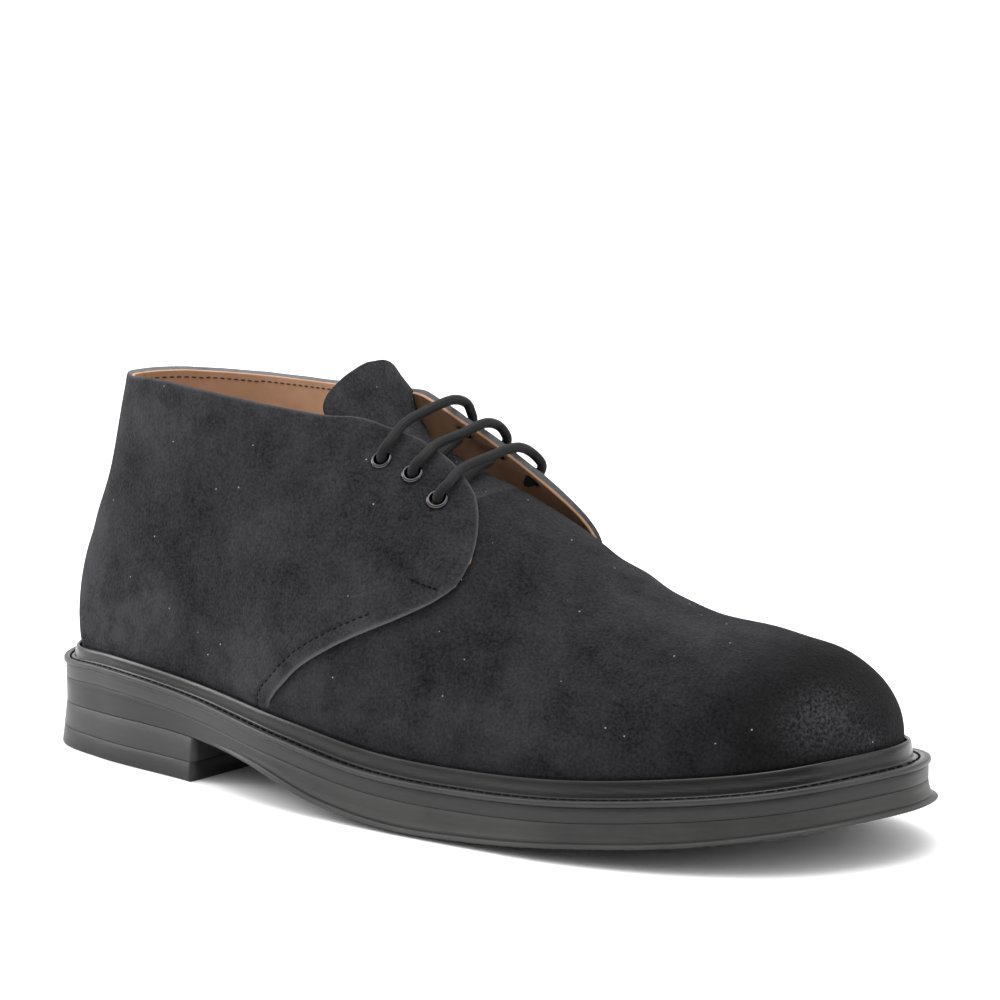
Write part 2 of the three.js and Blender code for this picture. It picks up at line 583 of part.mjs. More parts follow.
function makeTongue() {
  const left = traced(TONGUE_WIDTH.map((row) => [row.z, -row.half]), 14);
  const outline = [...left, ...left.slice(0, -1).reverse().map(([z, y]) => [z, -y])];
  const shape = new THREE.Shape(outline.map(([z, y]) => new THREE.Vector2(y + 1, z)));
  const geometry = new THREE.ExtrudeGeometry(shape, { depth: 120, bevelEnabled: false });
  geometry.rotateX(Math.PI / 2);
  geometry.rotateZ(Math.PI / 2);
  geometry.translate(80, 0, 0);
  return shell({ out: -TONGUE_SUNK }, TONGUE_THICK).intersect(sidePrism(TONGUE_SIDE, -60, 60)).intersect(solidFrom(geometry));
}

// ---------------------------------------------------------------- eyelets and lace
const FORMS = { '-1': lastForm(QUARTERS.outer), 1: lastForm(QUARTERS.inner) };

// Where an eyelet sits on its quarter, and the outward normal there.
function seat({ side, x, z }) {
  const y = (u, w) => FORMS[side].widths(u, w)[side < 0 ? 'outer' : 'inner'];
  const step = 0.5;
  const alongX = (y(x + step, z) - y(x - step, z)) / (2 * step);
  const alongZ = (y(x, z + step) - y(x, z - step)) / (2 * step);
  const normal = new THREE.Vector3(-side * alongX, side, -side * alongZ).normalize();
  return { point: new THREE.Vector3(x, y(x, z), z), normal };
}

// Turns a shape made round the Y axis to stand on the quarter at an eyelet.
function standing(geometry, eyelet) {
  const { point, normal } = seat(eyelet);
  const turn = new THREE.Quaternion().setFromUnitVectors(new THREE.Vector3(0, 1, 0), normal);
  geometry.applyQuaternion(turn);
  geometry.translate(point.x, point.y, point.z);
  return solidFrom(geometry);
}

function eyeletHole(eyelet) {
  return standing(new THREE.CylinderGeometry(EYELET.hole, EYELET.hole, 8, EYELET.sides), eyelet);
}

// Barrel through the wall with a rounded flange standing just clear of the suede.
function makeEyelet(eyelet) {
  const { bore, wall, flange, deep, sides: count } = EYELET;
  const profile = [
    [bore, -deep], [bore + wall, -deep], [bore + wall, GAP], [flange, GAP], [flange - 0.3, GAP + 0.55],
    [bore + wall, GAP + 0.65], [bore, GAP + 0.4], [bore, -deep],
  ];
  return standing(new THREE.LatheGeometry(profile.map((p) => new THREE.Vector2(...p)), count), eyelet);
}

// Points of the lace through an eyelet, from over the quarter's face to under it.
function throughEyelet(eyelet) {
  const { point, normal } = seat(eyelet);
  const facing = new THREE.Vector3(0, -eyelet.side, 0);
  facing.addScaledVector(normal, -facing.dot(normal)).normalize();
  const place = ({ along: a, high }) => point.clone().addScaledVector(facing, a).addScaledVector(normal, high);
  return THREADED.map(place);
}

// One lace: in through the lowest inner eyelet, then bar and diagonal by turns up to the top outer eyelet.
function laceRoute() {
  const outer = EYELETS.slice(0, 3).map(throughEyelet);
  const inner = EYELETS.slice(3).map(throughEyelet);
  const points = (list) => list.map((p) => new THREE.Vector3(...p));
  const route = [];
  for (let bar = 2; bar >= 0; bar--) {
    route.push(...inner[bar].slice().reverse(), ...points(BARS[bar]).reverse(), ...outer[bar]);
    if (bar > 0) route.push(...points(DIAGONALS[bar - 1]));
  }
  return route;
}

function makeLace() {
  const path = new THREE.CatmullRomCurve3(laceRoute(), false, 'centripetal');
  const section = new THREE.Shape();
  section.absarc(0, 0, LACE.wide / 2, 0, 2 * Math.PI);
  const steps = Math.round(path.getLength() / LACE.step);
  const settings = { steps, extrudePath: path, curveSegments: LACE.sides / 2, bevelEnabled: false };
  return solidFrom(new THREE.ExtrudeGeometry(section, settings));
}

// Insole: the whole floor of the shoe, inside the upper's wall.
function makeInsole() {
  const within = (x) => weltWide(x) + WALL + INSOLE_ROOM;
  return slab([{ inset: within, z: above(rimTop, INSOLE_THICK - 1) }, { inset: within, z: above(rimTop, -1) }]);
}

// ---------------------------------------------------------------- nodes
const group = new THREE.Group();

function addNode(name, solid, color, roughness, metalness = 0) {
  const { vertProperties, triVerts } = solid.getMesh();
  const geometry = new THREE.BufferGeometry();
  geometry.setAttribute('position', new THREE.BufferAttribute(vertProperties, 3));
  geometry.setIndex(new THREE.BufferAttribute(triVerts, 1));
  const material = new THREE.MeshStandardMaterial({ color, roughness, metalness });
  const mesh = new THREE.Mesh(geometry, material);
  mesh.name = name;
  group.add(mesh);
}

const flat = (z) => () => z;
addNode('heel_top_piece', heelLayer(flat(0), flat(TOP_PIECE_THICK)), 0x4a4a48, 0.6);
addNode('heel_lift', heelLayer(flat(TOP_PIECE_THICK + GAP), above(underside, -GAP)), 0x565654, 0.6);
addNode('outsole', makeOutsole(), 0x454543, 0.6);
addNode('midsole', makeMidsole(), 0x5a5a58, 0.55);
addNode('welt', makeWelt(), 0x202022, 0.3);
addNode('insole', makeInsole(), 0xa9713f, 0.7);
addNode('upper', makeUpper(), 0x2b2d36, 0.95);
addNode('tongue', makeTongue(), 0x26282f, 0.95);
EYELETS.forEach((eyelet) => addNode(eyelet.name, makeEyelet(eyelet), 0x2a2a2c, 0.35, 0.9));
addNode('lace', makeLace(), 0x17181a, 0.9);

group.position.set(-CENTRE.x, -CENTRE.y, 0);
export default group;
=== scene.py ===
# %% [markdown]
# # A suede chukka boot, right foot
#
# The boot is built over one last, the foot-shaped form that a shoemaker pulls leather over. Every soft piece
# is a patch of that form, so the first cells work out the form and the later ones cut, thicken and finish
# patches of it. Sizes are millimetres with x from the heel to the toe, y to the inner side of the foot and
# z up from the ground, and one function at the end moves them into the frame in metres.

import bpy
import numpy as np
from mathutils import Matrix

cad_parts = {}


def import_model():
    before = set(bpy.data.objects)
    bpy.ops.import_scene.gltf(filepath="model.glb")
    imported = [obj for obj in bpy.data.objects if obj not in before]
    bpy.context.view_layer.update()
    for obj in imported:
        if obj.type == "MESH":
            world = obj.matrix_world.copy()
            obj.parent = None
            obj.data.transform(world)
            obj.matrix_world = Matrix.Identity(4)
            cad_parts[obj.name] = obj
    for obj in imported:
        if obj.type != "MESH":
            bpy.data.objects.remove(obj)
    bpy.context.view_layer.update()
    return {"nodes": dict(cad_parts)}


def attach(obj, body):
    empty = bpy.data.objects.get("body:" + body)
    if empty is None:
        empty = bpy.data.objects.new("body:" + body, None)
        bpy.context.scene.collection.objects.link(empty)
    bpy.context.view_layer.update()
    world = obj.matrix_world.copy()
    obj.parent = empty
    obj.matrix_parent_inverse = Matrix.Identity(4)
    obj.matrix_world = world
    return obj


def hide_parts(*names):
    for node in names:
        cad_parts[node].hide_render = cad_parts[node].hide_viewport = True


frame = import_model()
print("frame nodes:", sorted(frame["nodes"]))

# %% Sizes shared with the frame, in mm
CENTRE = np.array([150.649, 0.973, 0.0])  # the frame's origin, under the middle of the shoe
WALL = 2.4  # suede and lining together
SUEDE = 1.5
PROUD = 1.7  # how far the quarters stand out over the vamp
SEAT = 1.4  # how far the upper goes on below the rim
WELT_THICK = 1.8
MIDSOLE_THICK = 4.4
JOINT = 0.06  # hairline between layers
TOP_PIECE = 5.7  # height of the heel's lowest layer
HEEL_FRONT = 81.0
FULLNESS, SWELL_AT = 1.8, 10.0  # the upper's swell over the rib, and the height at which it is fullest
FAN = np.array([196.0, 140.0])  # x and z of the point that the sections of the ankle turn about
TOE_TIP, HEEL_TIP = (300.0, 12.5), (0.0, 1.5)
SEAM_AT = 5.0  # the quarters' seam lies this far behind their front edge

# Stations: the sole's rim and underside, its outline, the welt, the top line of the toe and the instep, the
# heel's seam with the narrowing of the ankle, and the middle line's swing to the inner side.
RIM = dict(x=[0, 40, 80, 120, 155, 190, 220, 250, 275, 300],
           z=[26.2, 28.2, 25.4, 20.6, 16.2, 15.6, 17.0, 19.6, 22.3, 26.2])
UNDER = dict(x=[0, 80, 110, 140, 165, 195, 230, 260, 300],
             z=[13.2, 13.1, 10.4, 3.6, 1.0, 1.6, 4.6, 7.6, 14])
PLAN = dict(x=[3.5, 15, 38, 78, 118, 155, 190, 228, 262, 286, 297.3],
            outer=[14, 28.3, 36, 41.5, 49.3, 52.2, 52, 49.4, 37.6, 19.5, -1.5],
            inner=[17, 29.5, 36, 38.5, 41.5, 48, 53.3, 54, 49.5, 39, 25.5])
WELT = dict(x=[0, 80, 130, 200, 300], wide=[5.8, 5.6, 6.5, 7.2, 7.4], rib=[3.4, 3.6, 4.6, 4.7, 4.8])
TOE_RIDGE = dict(back=[0, 0.6, 3, 9, 20], z=[30, 36, 41.9, 48.6, 55])
RIDGE = dict(x=[250, 225, 200, 180, 165, 150, 135, 128, 123.5, 121, 119.5, 118],
             vamp=[58.7, 61.8, 71.8, 83.4, 90.5, 97, 103.4, 107.2, 112.2, 119, 126, 136],
             outer=[59.5, 63.2, 73.6, 86, 95.3, 103.4, 110, 114.4, 118.8, 123, 129, 142],
             inner=[59.5, 63.6, 75, 90, 100.4, 109.4, 116.6, 120.8, 125, 129, 134, 147])
BACK = dict(z=[15, 31, 38, 50, 65, 85, 105, 120, 160], x=[0, 0, -0.5, -0.8, 1.6, 8.6, 14.2, 18.4, 28],
            width=[1, 1, 0.985, 0.977, 0.957, 0.931, 0.936, 0.954, 1.02],
            narrow=[0, 0, 0.06, 0.13, 0.2, 0.34, 0.42, 0.45, 0.45])
SWING = dict(x=[0, 60, 120, 170, 220, 293], y=[1.5, 0, 0, 3, 8, 12.5])

# %% [markdown]
# ## The last
#
# Each table above is a short list of stations, as a pattern maker would write them. A cubic through the rows
# gives a smooth curve, and the form is then one rule: the sole's outline, moved in by the welt, is drawn in
# towards the top line along an arch. A formula like this keeps every patch on the same smooth skin, which
# hand-pushed vertices would not.

# %% Curves through table rows
def cubic(t, ts, vs):
    """Cubic through the rows; the slope at a row is the mean of its two chords, weighted by their lengths."""
    ts, vs = np.asarray(ts, float), np.asarray(vs, float)
    h = np.diff(ts)
    chord = np.diff(vs) / h
    inner = (chord[:-1] * h[1:] + chord[1:] * h[:-1]) / (h[:-1] + h[1:])
    slope = np.concatenate([chord[:1], inner, chord[-1:]])
    t = np.clip(t, ts[0], ts[-1])
    i = np.clip(np.searchsorted(ts, t, side="left") - 1, 0, len(h) - 1)
    s = (t - ts[i]) / h[i]
    step = (vs[i + 1] - vs[i]) * s * s * (3 - 2 * s)
    return vs[i] + step + h[i] * s * (1 - s) * ((1 - s) * slope[i] - s * slope[i + 1])


def along(table, a, b):
    """Column b as a smooth function of column a."""
    return lambda t: cubic(t, table[a], table[b])


def traced(points, count, power=0.75):
    """Curve through points, sampled evenly in the given power of the chord length."""
    points = np.asarray(points, float)
    lengths = np.linalg.norm(np.diff(points, axis=0), axis=1)
    t = np.concatenate([[0], np.cumsum(lengths ** power)])
    u = np.linspace(0, t[-1], count + 1)
    return np.stack([cubic(u, t, points[:, k]) for k in range(points.shape[1])], axis=1)


def smooth(t):
    """Eases from 0 to 1 with level ends: 3t^2 - 2t^3."""
    t = np.clip(t, 0, 1)
    return t * t * (3 - 2 * t)


rim_top, underside = along(RIM, "x", "z"), along(UNDER, "x", "z")
welt_wide, rib_high = along(WELT, "x", "wide"), along(WELT, "x", "rib")
seam_x, ankle_width, ankle_narrow = (along(BACK, "z", k) for k in ("x", "width", "narrow"))
swing = along(SWING, "x", "y")
print("rim height at heel, waist, toe:", *np.round(rim_top(np.array([0, 120, 300])), 1))

# %% The sole's outline
def rim_outline(count):
    """Closed plan curve from the toe tip down the outer side, round the heel and up the inner side."""
    x = np.array(PLAN["x"])
    outer, inner = np.c_[x, -np.array(PLAN["outer"])][::-1], np.c_[x, PLAN["inner"]]
    loop = np.vstack([[TOE_TIP], outer, [HEEL_TIP], inner])
    wrapped = np.vstack([loop[-2:], loop, loop[:3]])
    t = np.concatenate([[0], np.cumsum(np.linalg.norm(np.diff(wrapped, axis=0), axis=1) ** 0.75)])
    s = t[2] + (t[2 + len(loop)] - t[2]) * np.arange(count) / count
    return np.c_[cubic(s, t, wrapped[:, 0]), cubic(s, t, wrapped[:, 1])]


def inset(outline, distance):
    """The outline moved inwards, at right angles to itself, by a number or a function of x."""
    tangent = np.roll(outline, -1, 0) - np.roll(outline, 1, 0)
    tangent /= np.linalg.norm(tangent, axis=1)[:, None]
    d = distance(outline[:, 0]) if callable(distance) else distance
    return outline + np.c_[tangent[:, 1], -tangent[:, 0]] * np.reshape(d, (-1, 1))


def sides(outline):
    """The outline split at its toe and heel into outer and inner sides, both rising in x."""
    toe = np.argmax(outline[:, 0])
    turned = np.vstack([np.roll(outline, -toe, 0), outline[toe]])
    heel = np.argmin(turned[:, 0])
    return turned[:heel + 1][::-1], turned[heel:]


FINE = rim_outline(720)
print("outline", np.round(np.ptp(FINE, axis=0), 1), "mm")

# %% The form itself
BALL = 200.0  # x where the foot is widest: the arch over it is roundest there, and fuller to both ends
ARCH, FULLER, HEEL_ARCH, ANKLE = 2.1, 0.2, 2.3, 120.0  # superellipse powers, and where the heel's ends
LEAN_FADE, ANKLE_FADE, TAIL_FADE = 150, 110, 75  # mm over which the heel's lean and narrowing die out


class Last:
    """The foot form, out by a distance from the upper's face. crest picks its top line, and front is the
    edge behind which it stands proud."""

    def __init__(self, out=0.0, crest="vamp", front=None):
        self.outer, self.inner = sides(inset(FINE, lambda x: welt_wide(x) - out))
        self.heel, self.toe = self.outer[0, 0], self.outer[-1, 0]
        toe_rows = np.c_[self.toe - out - np.array(TOE_RIDGE["back"]), TOE_RIDGE["z"]]
        line = traced(np.vstack([toe_rows, np.c_[RIDGE["x"], RIDGE[crest]]]), 480, 0.7)
        way = np.gradient(line, axis=0)
        way /= np.linalg.norm(way, axis=1)[:, None]
        self.ridge = line + np.c_[way[:, 1], -way[:, 0]] * out
        self.ridge_by_x = self.ridge[np.argsort(self.ridge[:, 0])]
        self.near = self.sorted_fan(self.ridge[self.ridge[:, 0] < FAN[0] + 8])
        self.far, self.base = self.edge_fan(0), self.edge_fan(SEAT)
        self.front = front[np.argsort(front[:, 1])] if front is not None else None

    @staticmethod
    def to_fan(x, z):
        """Turn about the fan's centre, and distance from it."""
        return np.arctan2(FAN[0] - x, FAN[1] - z), np.hypot(FAN[0] - x, FAN[1] - z)

    def sorted_fan(self, points):
        turn, reach = self.to_fan(points[:, 0], points[:, 1])
        order = np.argsort(turn)
        return turn[order], reach[order]

    def edge_fan(self, below):
        """The rim line and the back seam, as seen from the fan's centre."""
        x = np.linspace(self.heel, FAN[0] + 8, 240)
        z = np.linspace(rim_top(self.heel) - below, FAN[1] + 12, 240)
        return self.sorted_fan(np.vstack([np.c_[x, rim_top(x) - below], np.c_[self.seam(z), z]]))

    def seam(self, z):
        return self.heel + seam_x(z)

    def back(self, z):
        """Where the slid outline reaches the heel tip: the seam's lean, less the part that fades forwards."""
        return self.heel + seam_x(z) / (1 + seam_x(z) / LEAN_FADE)

    def widths(self, x, z):
        """Outer and inner y: the outline slid with the heel seam, narrowed at the ankle, swollen over the
        rib, and drawn in to the ridge by a superellipse of the closeness q to the ridge."""
        x, z = np.broadcast_arrays(np.asarray(x, float), np.asarray(z, float))
        turn, reach = self.to_fan(x, z)
        near, far = np.interp(turn, *self.near), np.interp(turn, *self.far)
        top = np.interp(x, self.ridge_by_x[:, 0], self.ridge_by_x[:, 1])
        upright = (z - rim_top(x)) / np.maximum(top - rim_top(x), 1e-9)
        q = np.clip(np.where(x >= FAN[0], upright, (far - reach) / (far - near)), 0, 1)
        from_ball = np.abs((x - BALL) / np.where(x < BALL, BALL - ANKLE, 93))
        power = np.where(x < ANKLE, HEEL_ARCH, ARCH + FULLER * from_ball)
        arch = (1 - q ** power) ** (1 / power)
        fade = np.clip(1 - (x - self.heel) / LEAN_FADE, 0, 1)
        slid = np.clip(x - (self.seam(z) - self.heel) * fade, self.heel, self.toe)
        ankle = 1 + (ankle_width(z) - 1) * np.clip(1 - (x - 60) / ANKLE_FADE, 0, 1)
        tail = np.clip(1 - (x - self.seam(z)) / TAIL_FADE, 0, 1)
        factor = ankle * (1 - ankle_narrow(z) * tail ** 2) * arch
        rise = np.maximum(z - rim_top(x) - rib_high(x), 0)
        ends = np.sqrt(np.minimum((slid - self.heel) / 12, 1) * np.minimum((self.toe - slid) / 12, 1))
        swell = FULLNESS * rise * np.exp(1 - rise / SWELL_AT) / SWELL_AT
        if self.front is not None:
            behind = (x - np.interp(z, self.front[:, 1], self.front[:, 0])) / 45 + 1
            swell = swell + PROUD * smooth(behind) * np.minimum(rise / 8, 1)
        centre = swing(x) * (1 - arch)
        out = np.interp(slid, self.outer[:, 0], self.outer[:, 1])
        inn = np.interp(slid, self.inner[:, 0], self.inner[:, 1])
        return centre + out * factor - swell * arch * ends, centre + inn * factor + swell * arch * ends

    def y(self, side, x, z):
        return self.widths(x, z)[0 if side < 0 else 1]

    def upright(self, x):
        """Base and ridge points of the upright sections at these x."""
        return (np.c_[x, rim_top(x) - SEAT],
                np.c_[x, np.interp(x, self.ridge_by_x[:, 0], self.ridge_by_x[:, 1])])


vamp_last = Last()
print("last runs x", round(vamp_last.heel, 1), "to", round(vamp_last.toe, 1))

# %% [markdown]
# ## From arrays to pieces
#
# A patch of leather is a grid of points with a wall behind it. The wall is a second grid moved back along
# the normals, and strips close every free edge, round eyelet holes too. Working on whole arrays keeps this
# short and makes a closed solid in one step, where Solidify would leave no say over the cut edge's colour.

# %% Mesh helpers
def world(points):
    """Working millimetres to the frame's metres."""
    return (np.asarray(points, float) - CENTRE) / 1000


def mesh_object(name, points, faces, materials, numbers=None, **attributes):
    """Makes one smooth-shaded object from points and a list of index arrays; numbers gives each array's
    material, and attributes hold one value for each point."""
    mesh = bpy.data.meshes.new(name)
    mesh.from_pydata(world(points).tolist(), [], [row for f in faces for row in f.tolist()])
    for material in materials:
        mesh.materials.append(material)
    if numbers is not None:
        slots = np.concatenate([np.full(len(f), k) for f, k in zip(faces, numbers)])
        mesh.polygons.foreach_set("material_index", slots.astype(np.int32))
    mesh.polygons.foreach_set("use_smooth", np.ones(len(mesh.polygons), bool))
    for key, values in attributes.items():
        layer = mesh.attributes.new(key, "FLOAT", "POINT")
        layer.data.foreach_set("value", np.asarray(values, np.float32))
    mesh.update()
    item = bpy.data.objects.new(name, mesh)
    bpy.context.scene.collection.objects.link(item)
    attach(item, "root")
    print(f"{name}: {len(mesh.vertices)} points, {len(mesh.polygons)} faces")
    return item


def grid_quads(rows, cols, wrap_rows=False, wrap_cols=False):
    """Index quads over a grid, closed round either way if asked."""
    r = np.arange(rows if wrap_rows else rows - 1)
    c = np.arange(cols if wrap_cols else cols - 1)
    a, b = np.meshgrid(r, c, indexing="ij")
    a, b = a.ravel(), b.ravel()
    a2, b2 = (a + 1) % rows, (b + 1) % cols
    return np.stack([a * cols + b, a * cols + b2, a2 * cols + b2, a2 * cols + b], axis=1)


def normals(grid, side=1):
    """Unit normals of a grid from its two tangents, turned by side."""
    across = np.cross(np.gradient(grid, axis=0), np.gradient(grid, axis=1)) * side
    return across / np.maximum(np.linalg.norm(across, axis=2, keepdims=True), 1e-9)


def without_repeats(quads):
    """Splits quads into true quads and triangles where two neighbouring corners are one point."""
    same = quads == np.roll(quads, -1, axis=1)
    count = same.sum(axis=1)
    folded = quads[count == 1]
    corner = np.argmax(same[count == 1], axis=1)
    order = (corner[:, None] + np.array([1, 2, 3])) % 4
    return quads[count == 0], np.take_along_axis(folded, order, axis=1)


def shell(name, grid, side, thick, materials, keep=None, **attributes):
    """Closed sheet: the grid, a copy moved back by thick, and strips round every free edge."""
    rows, cols = grid.shape[:2]
    points = grid.reshape(-1, 3)
    _, first, index = np.unique(np.round(points, 3), axis=0, return_index=True, return_inverse=True)
    index = index.ravel()
    total = np.zeros((len(first), 3))
    np.add.at(total, index, normals(grid, side).reshape(-1, 3))
    normal = total / np.maximum(np.linalg.norm(total, axis=1)[:, None], 1e-9)
    face = points[first]
    quads = grid_quads(rows, cols)
    if keep is not None:
        quads = quads[keep.ravel()]
    quads = index[quads]
    quads = quads if side < 0 else quads[:, ::-1]
    edges = np.concatenate([quads[:, [k, (k + 1) % 4]] for k in range(4)])
    edges = edges[edges[:, 0] != edges[:, 1]]
    code = edges[:, 0] * len(face) + edges[:, 1]
    back = edges[:, 1] * len(face) + edges[:, 0]
    free = edges[~np.isin(code, back)]
    n = len(face)
    strip = np.c_[free[:, 1], free[:, 0], free[:, 0] + n, free[:, 1] + n]
    front, corners = without_repeats(quads)
    faces = [front, corners, strip, front[:, ::-1] + n, corners[:, ::-1] + n]
    values = {k: np.tile(np.asarray(v).ravel()[first], 2) for k, v in attributes.items()}
    numbers = [0, 0, 1, 2, 2]
    numbers = [min(k, len(materials) - 1) for k in numbers]
    depth = np.broadcast_to(thick, grid.shape[:2]).ravel()[first][:, None]
    return mesh_object(name, np.vstack([face, face - normal * depth]), faces, materials, numbers, **values)


def nearest(points, curve):
    """Distance from each point to the nearest of the curve's points."""
    flat = points.reshape(-1, points.shape[-1])
    best = np.full(len(flat), np.inf)
    for start in range(0, len(curve), 60):
        block = curve[start:start + 60]
        gap = np.linalg.norm(flat[:, None, :] - block[None, :, :], axis=2)
        best = np.minimum(best, gap.min(axis=1))
    return best.reshape(points.shape[:-1])


# %% [markdown]
# ## Materials
#
# Split suede is leather buffed on its flesh side until the fibres stand up. It has no gloss: what the eye
# reads is cloudy tone where the nap was brushed one way or another, a fine grain of fibre ends, and a pale
# bloom at grazing angles. A painted texture could hold all that, but it would stretch at the toe. The tones
# are layers of noise on object coordinates instead, so no seam shows, and the bloom is the shader's sheen.

# %% Colours and nodes
def linear(code):
    """sRGB hex to linear RGBA."""
    c = np.array([int(code[k:k + 2], 16) for k in (1, 3, 5)]) / 255
    return (*np.where(c <= 0.04045, c / 12.92, ((c + 0.055) / 1.055) ** 2.4).tolist(), 1.0)


def feed(tree, socket, value):
    """Sets a socket by a value, by another socket, or by a node, whose first output in use is meant."""
    if isinstance(value, bpy.types.Node):
        value = next(out for out in value.outputs if out.enabled)
    if isinstance(value, bpy.types.NodeSocket):
        tree.links.new(value, socket)
    else:
        socket.default_value = value


def add(tree, kind, inputs=None, **settings):
    """Adds one node with its settings and links."""
    item = tree.nodes.new(kind)
    for key, value in settings.items():
        setattr(item, key, value)
    for key, value in (inputs or {}).items():
        feed(tree, item.inputs[key], value)
    return item


def finish(name, **settings):
    """A new material with its Principled shader, set by socket name."""
    material = bpy.data.materials.new(name)
    material.use_nodes = True
    shader = material.node_tree.nodes["Principled BSDF"]
    for key, value in settings.items():
        shader.inputs[key.replace("_", " ")].default_value = value
    return material, material.node_tree, shader


MATHS, RANGE, MIX = "ShaderNodeMath", "ShaderNodeMapRange", "ShaderNodeMix"  # sums, stretches, blends
NOISE, CELLS, VALUE = "ShaderNodeTexNoise", "ShaderNodeTexVoronoi", "ShaderNodeAttribute"
A, B = 6, 7  # the two colour inputs of a blend
print("navy charcoal in linear light:", np.round(linear("#2b2c30")[:3], 4))

# %% Split suede, brushed, navy charcoal
CLOUD, STROKE, TUFT, ROUGHED = 30, 8, 0.9, 0.85  # widths of the marks in the nap, in mm
LINT = 20 / 3  # mm between specks


def make_suede(name, dark, light, tuft=TUFT):
    """Split suede: the flesh side of a hide, buffed on a drum and brushed, which leaves no gloss. The eye
    gets clouds and strokes where the nap lies one way or another, the grain of its tufts, and a little lint.
    Real tufts are about 0.2 mm wide, too fine to show, so they are drawn 0.9 mm wide. The attributes tell
    where it is paler, partly brushed nap and partly painted light, where it is burnished dark and scuffed,
    and where a light line runs along a cut edge, partly the raw edge's grey and partly a painted highlight."""
    material, tree, shader = finish(name, Roughness=1.0, Specular_IOR_Level=0.06, Sheen_Weight=0.07,
                                    Sheen_Roughness=0.4, Sheen_Tint=linear("#bdbdc2"))
    place = add(tree, "ShaderNodeTexCoord").outputs["Object"]
    pale, burnt, scuff, worn = (add(tree, VALUE, attribute_name=key).outputs["Fac"]
                                for key in ("pale", "burnish", "scuff", "worn"))
    marks = []
    for size, detail, rough, low, high in ((CLOUD, 3, 0.55, 0.38, 0.62), (STROKE, 4, 0.6, 0.34, 0.66),
                                           (tuft, 3, 0.7, 0.34, 0.66), (ROUGHED, 4, 0.75, 0.4, 0.7)):
        look = {"Vector": place, "Scale": 1000 / size, "Detail": detail, "Roughness": rough}
        spots = add(tree, NOISE, look)
        marks.append(add(tree, RANGE, {"Value": spots, "From Min": low, "From Max": high}))
    cloud, stroke, fibre, coarse = marks
    # The tone is 0.2 of the strokes, 0.26 of the clouds and half of the tufts, and more in the pale patches,
    # which are partly brushed nap and partly painted light.
    tone = add(tree, MATHS, {0: stroke, 1: 0.2}, operation="MULTIPLY")
    for mark, share in ((cloud, 0.26), (fibre, 0.5)):
        tone = add(tree, MATHS, {0: mark, 1: share, 2: tone}, operation="MULTIPLY_ADD")
    bloom = add(tree, MATHS, {0: stroke, 1: 0.6, 2: 0.25}, operation="MULTIPLY_ADD")
    tone = add(tree, MATHS, {0: pale, 1: bloom, 2: tone}, operation="MULTIPLY_ADD", use_clamp=True)
    colour = add(tree, MIX, {0: tone, A: linear(dark), B: linear(light)}, data_type="RGBA")
    burn = add(tree, MATHS, {0: burnt, 1: 0.88}, operation="MULTIPLY")
    torn = add(tree, MATHS, {0: scuff, 1: coarse}, operation="MULTIPLY")
    lint = add(tree, CELLS, {"Vector": place, "Scale": 1000 / LINT})
    speck = add(tree, MATHS, {0: lint, 1: 0.034}, operation="LESS_THAN")
    # Then darker where burnished, grey where scuffed, a light grey line on the cut edges that is partly the
    # raw edge and partly a painted highlight, and lint specks.
    for amount, code in ((burn, "#0b0b0b"), (torn, "#4d4d4f"), (worn, "#6c6c72"), (speck, "#a3a29e")):
        colour = add(tree, MIX, {0: amount, A: colour, B: linear(code)}, data_type="RGBA")
    height = add(tree, MATHS, {0: fibre, 1: 0.6, 2: torn}, operation="MULTIPLY_ADD")
    height = add(tree, MATHS, {0: stroke, 1: 0.5, 2: height}, operation="MULTIPLY_ADD")
    bump = add(tree, "ShaderNodeBump", {"Height": height, "Strength": 0.7, "Distance": 0.0005})
    feed(tree, shader.inputs["Base Color"], colour)
    feed(tree, shader.inputs["Normal"], bump)
    return material


suede = make_suede("split_suede_navy_charcoal", "#080809", "#39393c")
tongue_suede = make_suede("split_suede_tongue", "#101011", "#3f3f42")
# The cut edge is a light grey: the raw edge's own colour, made lighter still as painted light where the edge
# faces catch the lamps.
lit_suede_edge = make_suede("cut_suede_edge_painted_light", "#424347", "#77777a", 0.5)
print("suede materials:", suede.name, tongue_suede.name, lit_suede_edge.name)

# %% [markdown]
# ## Leather, rubber, thread, metal and cord
#
# The other finishes are plainer. Smooth leather and buffed rubber each get faint clouds and one fine relief,
# and the cord gets its plait from its own length and turn. Thread and eyelets are too small to show a
# pattern, so numbers on the shader are enough for them.

# %% Lining calf and insole leather
def make_leather(name, dark, light, rough, pore=0.9):
    """Calf: tanned, plated smooth and sealed, which gives faint clouds 22 mm wide and a soft shine. Real
    pores are about 0.2 mm apart, too fine to show, so they are drawn 0.9 mm apart."""
    material, tree, shader = finish(name, Roughness=rough, Specular_IOR_Level=0.4)
    place = add(tree, "ShaderNodeTexCoord").outputs["Object"]
    cloud = add(tree, NOISE, {"Vector": place, "Scale": 1000 / 22, "Detail": 4, "Roughness": 0.55})
    cloud = add(tree, RANGE, {"Value": cloud, "From Min": 0.3, "From Max": 0.7})
    colour = add(tree, MIX, {0: cloud, A: linear(dark), B: linear(light)}, data_type="RGBA")
    pores = add(tree, CELLS, {"Vector": place, "Scale": 1000 / pore})
    bump = add(tree, "ShaderNodeBump", {"Height": pores, "Strength": 0.25, "Distance": 0.0001})
    feed(tree, shader.inputs["Base Color"], colour)
    feed(tree, shader.inputs["Normal"], bump)
    return material


lining = make_leather("tan_lining_calf", "#ad8464", "#cba083", 0.6)
insole_leather = make_leather("tan_insole_leather", "#a67f5d", "#c39a78", 0.55)
print("leathers:", lining.name, insole_leather.name)

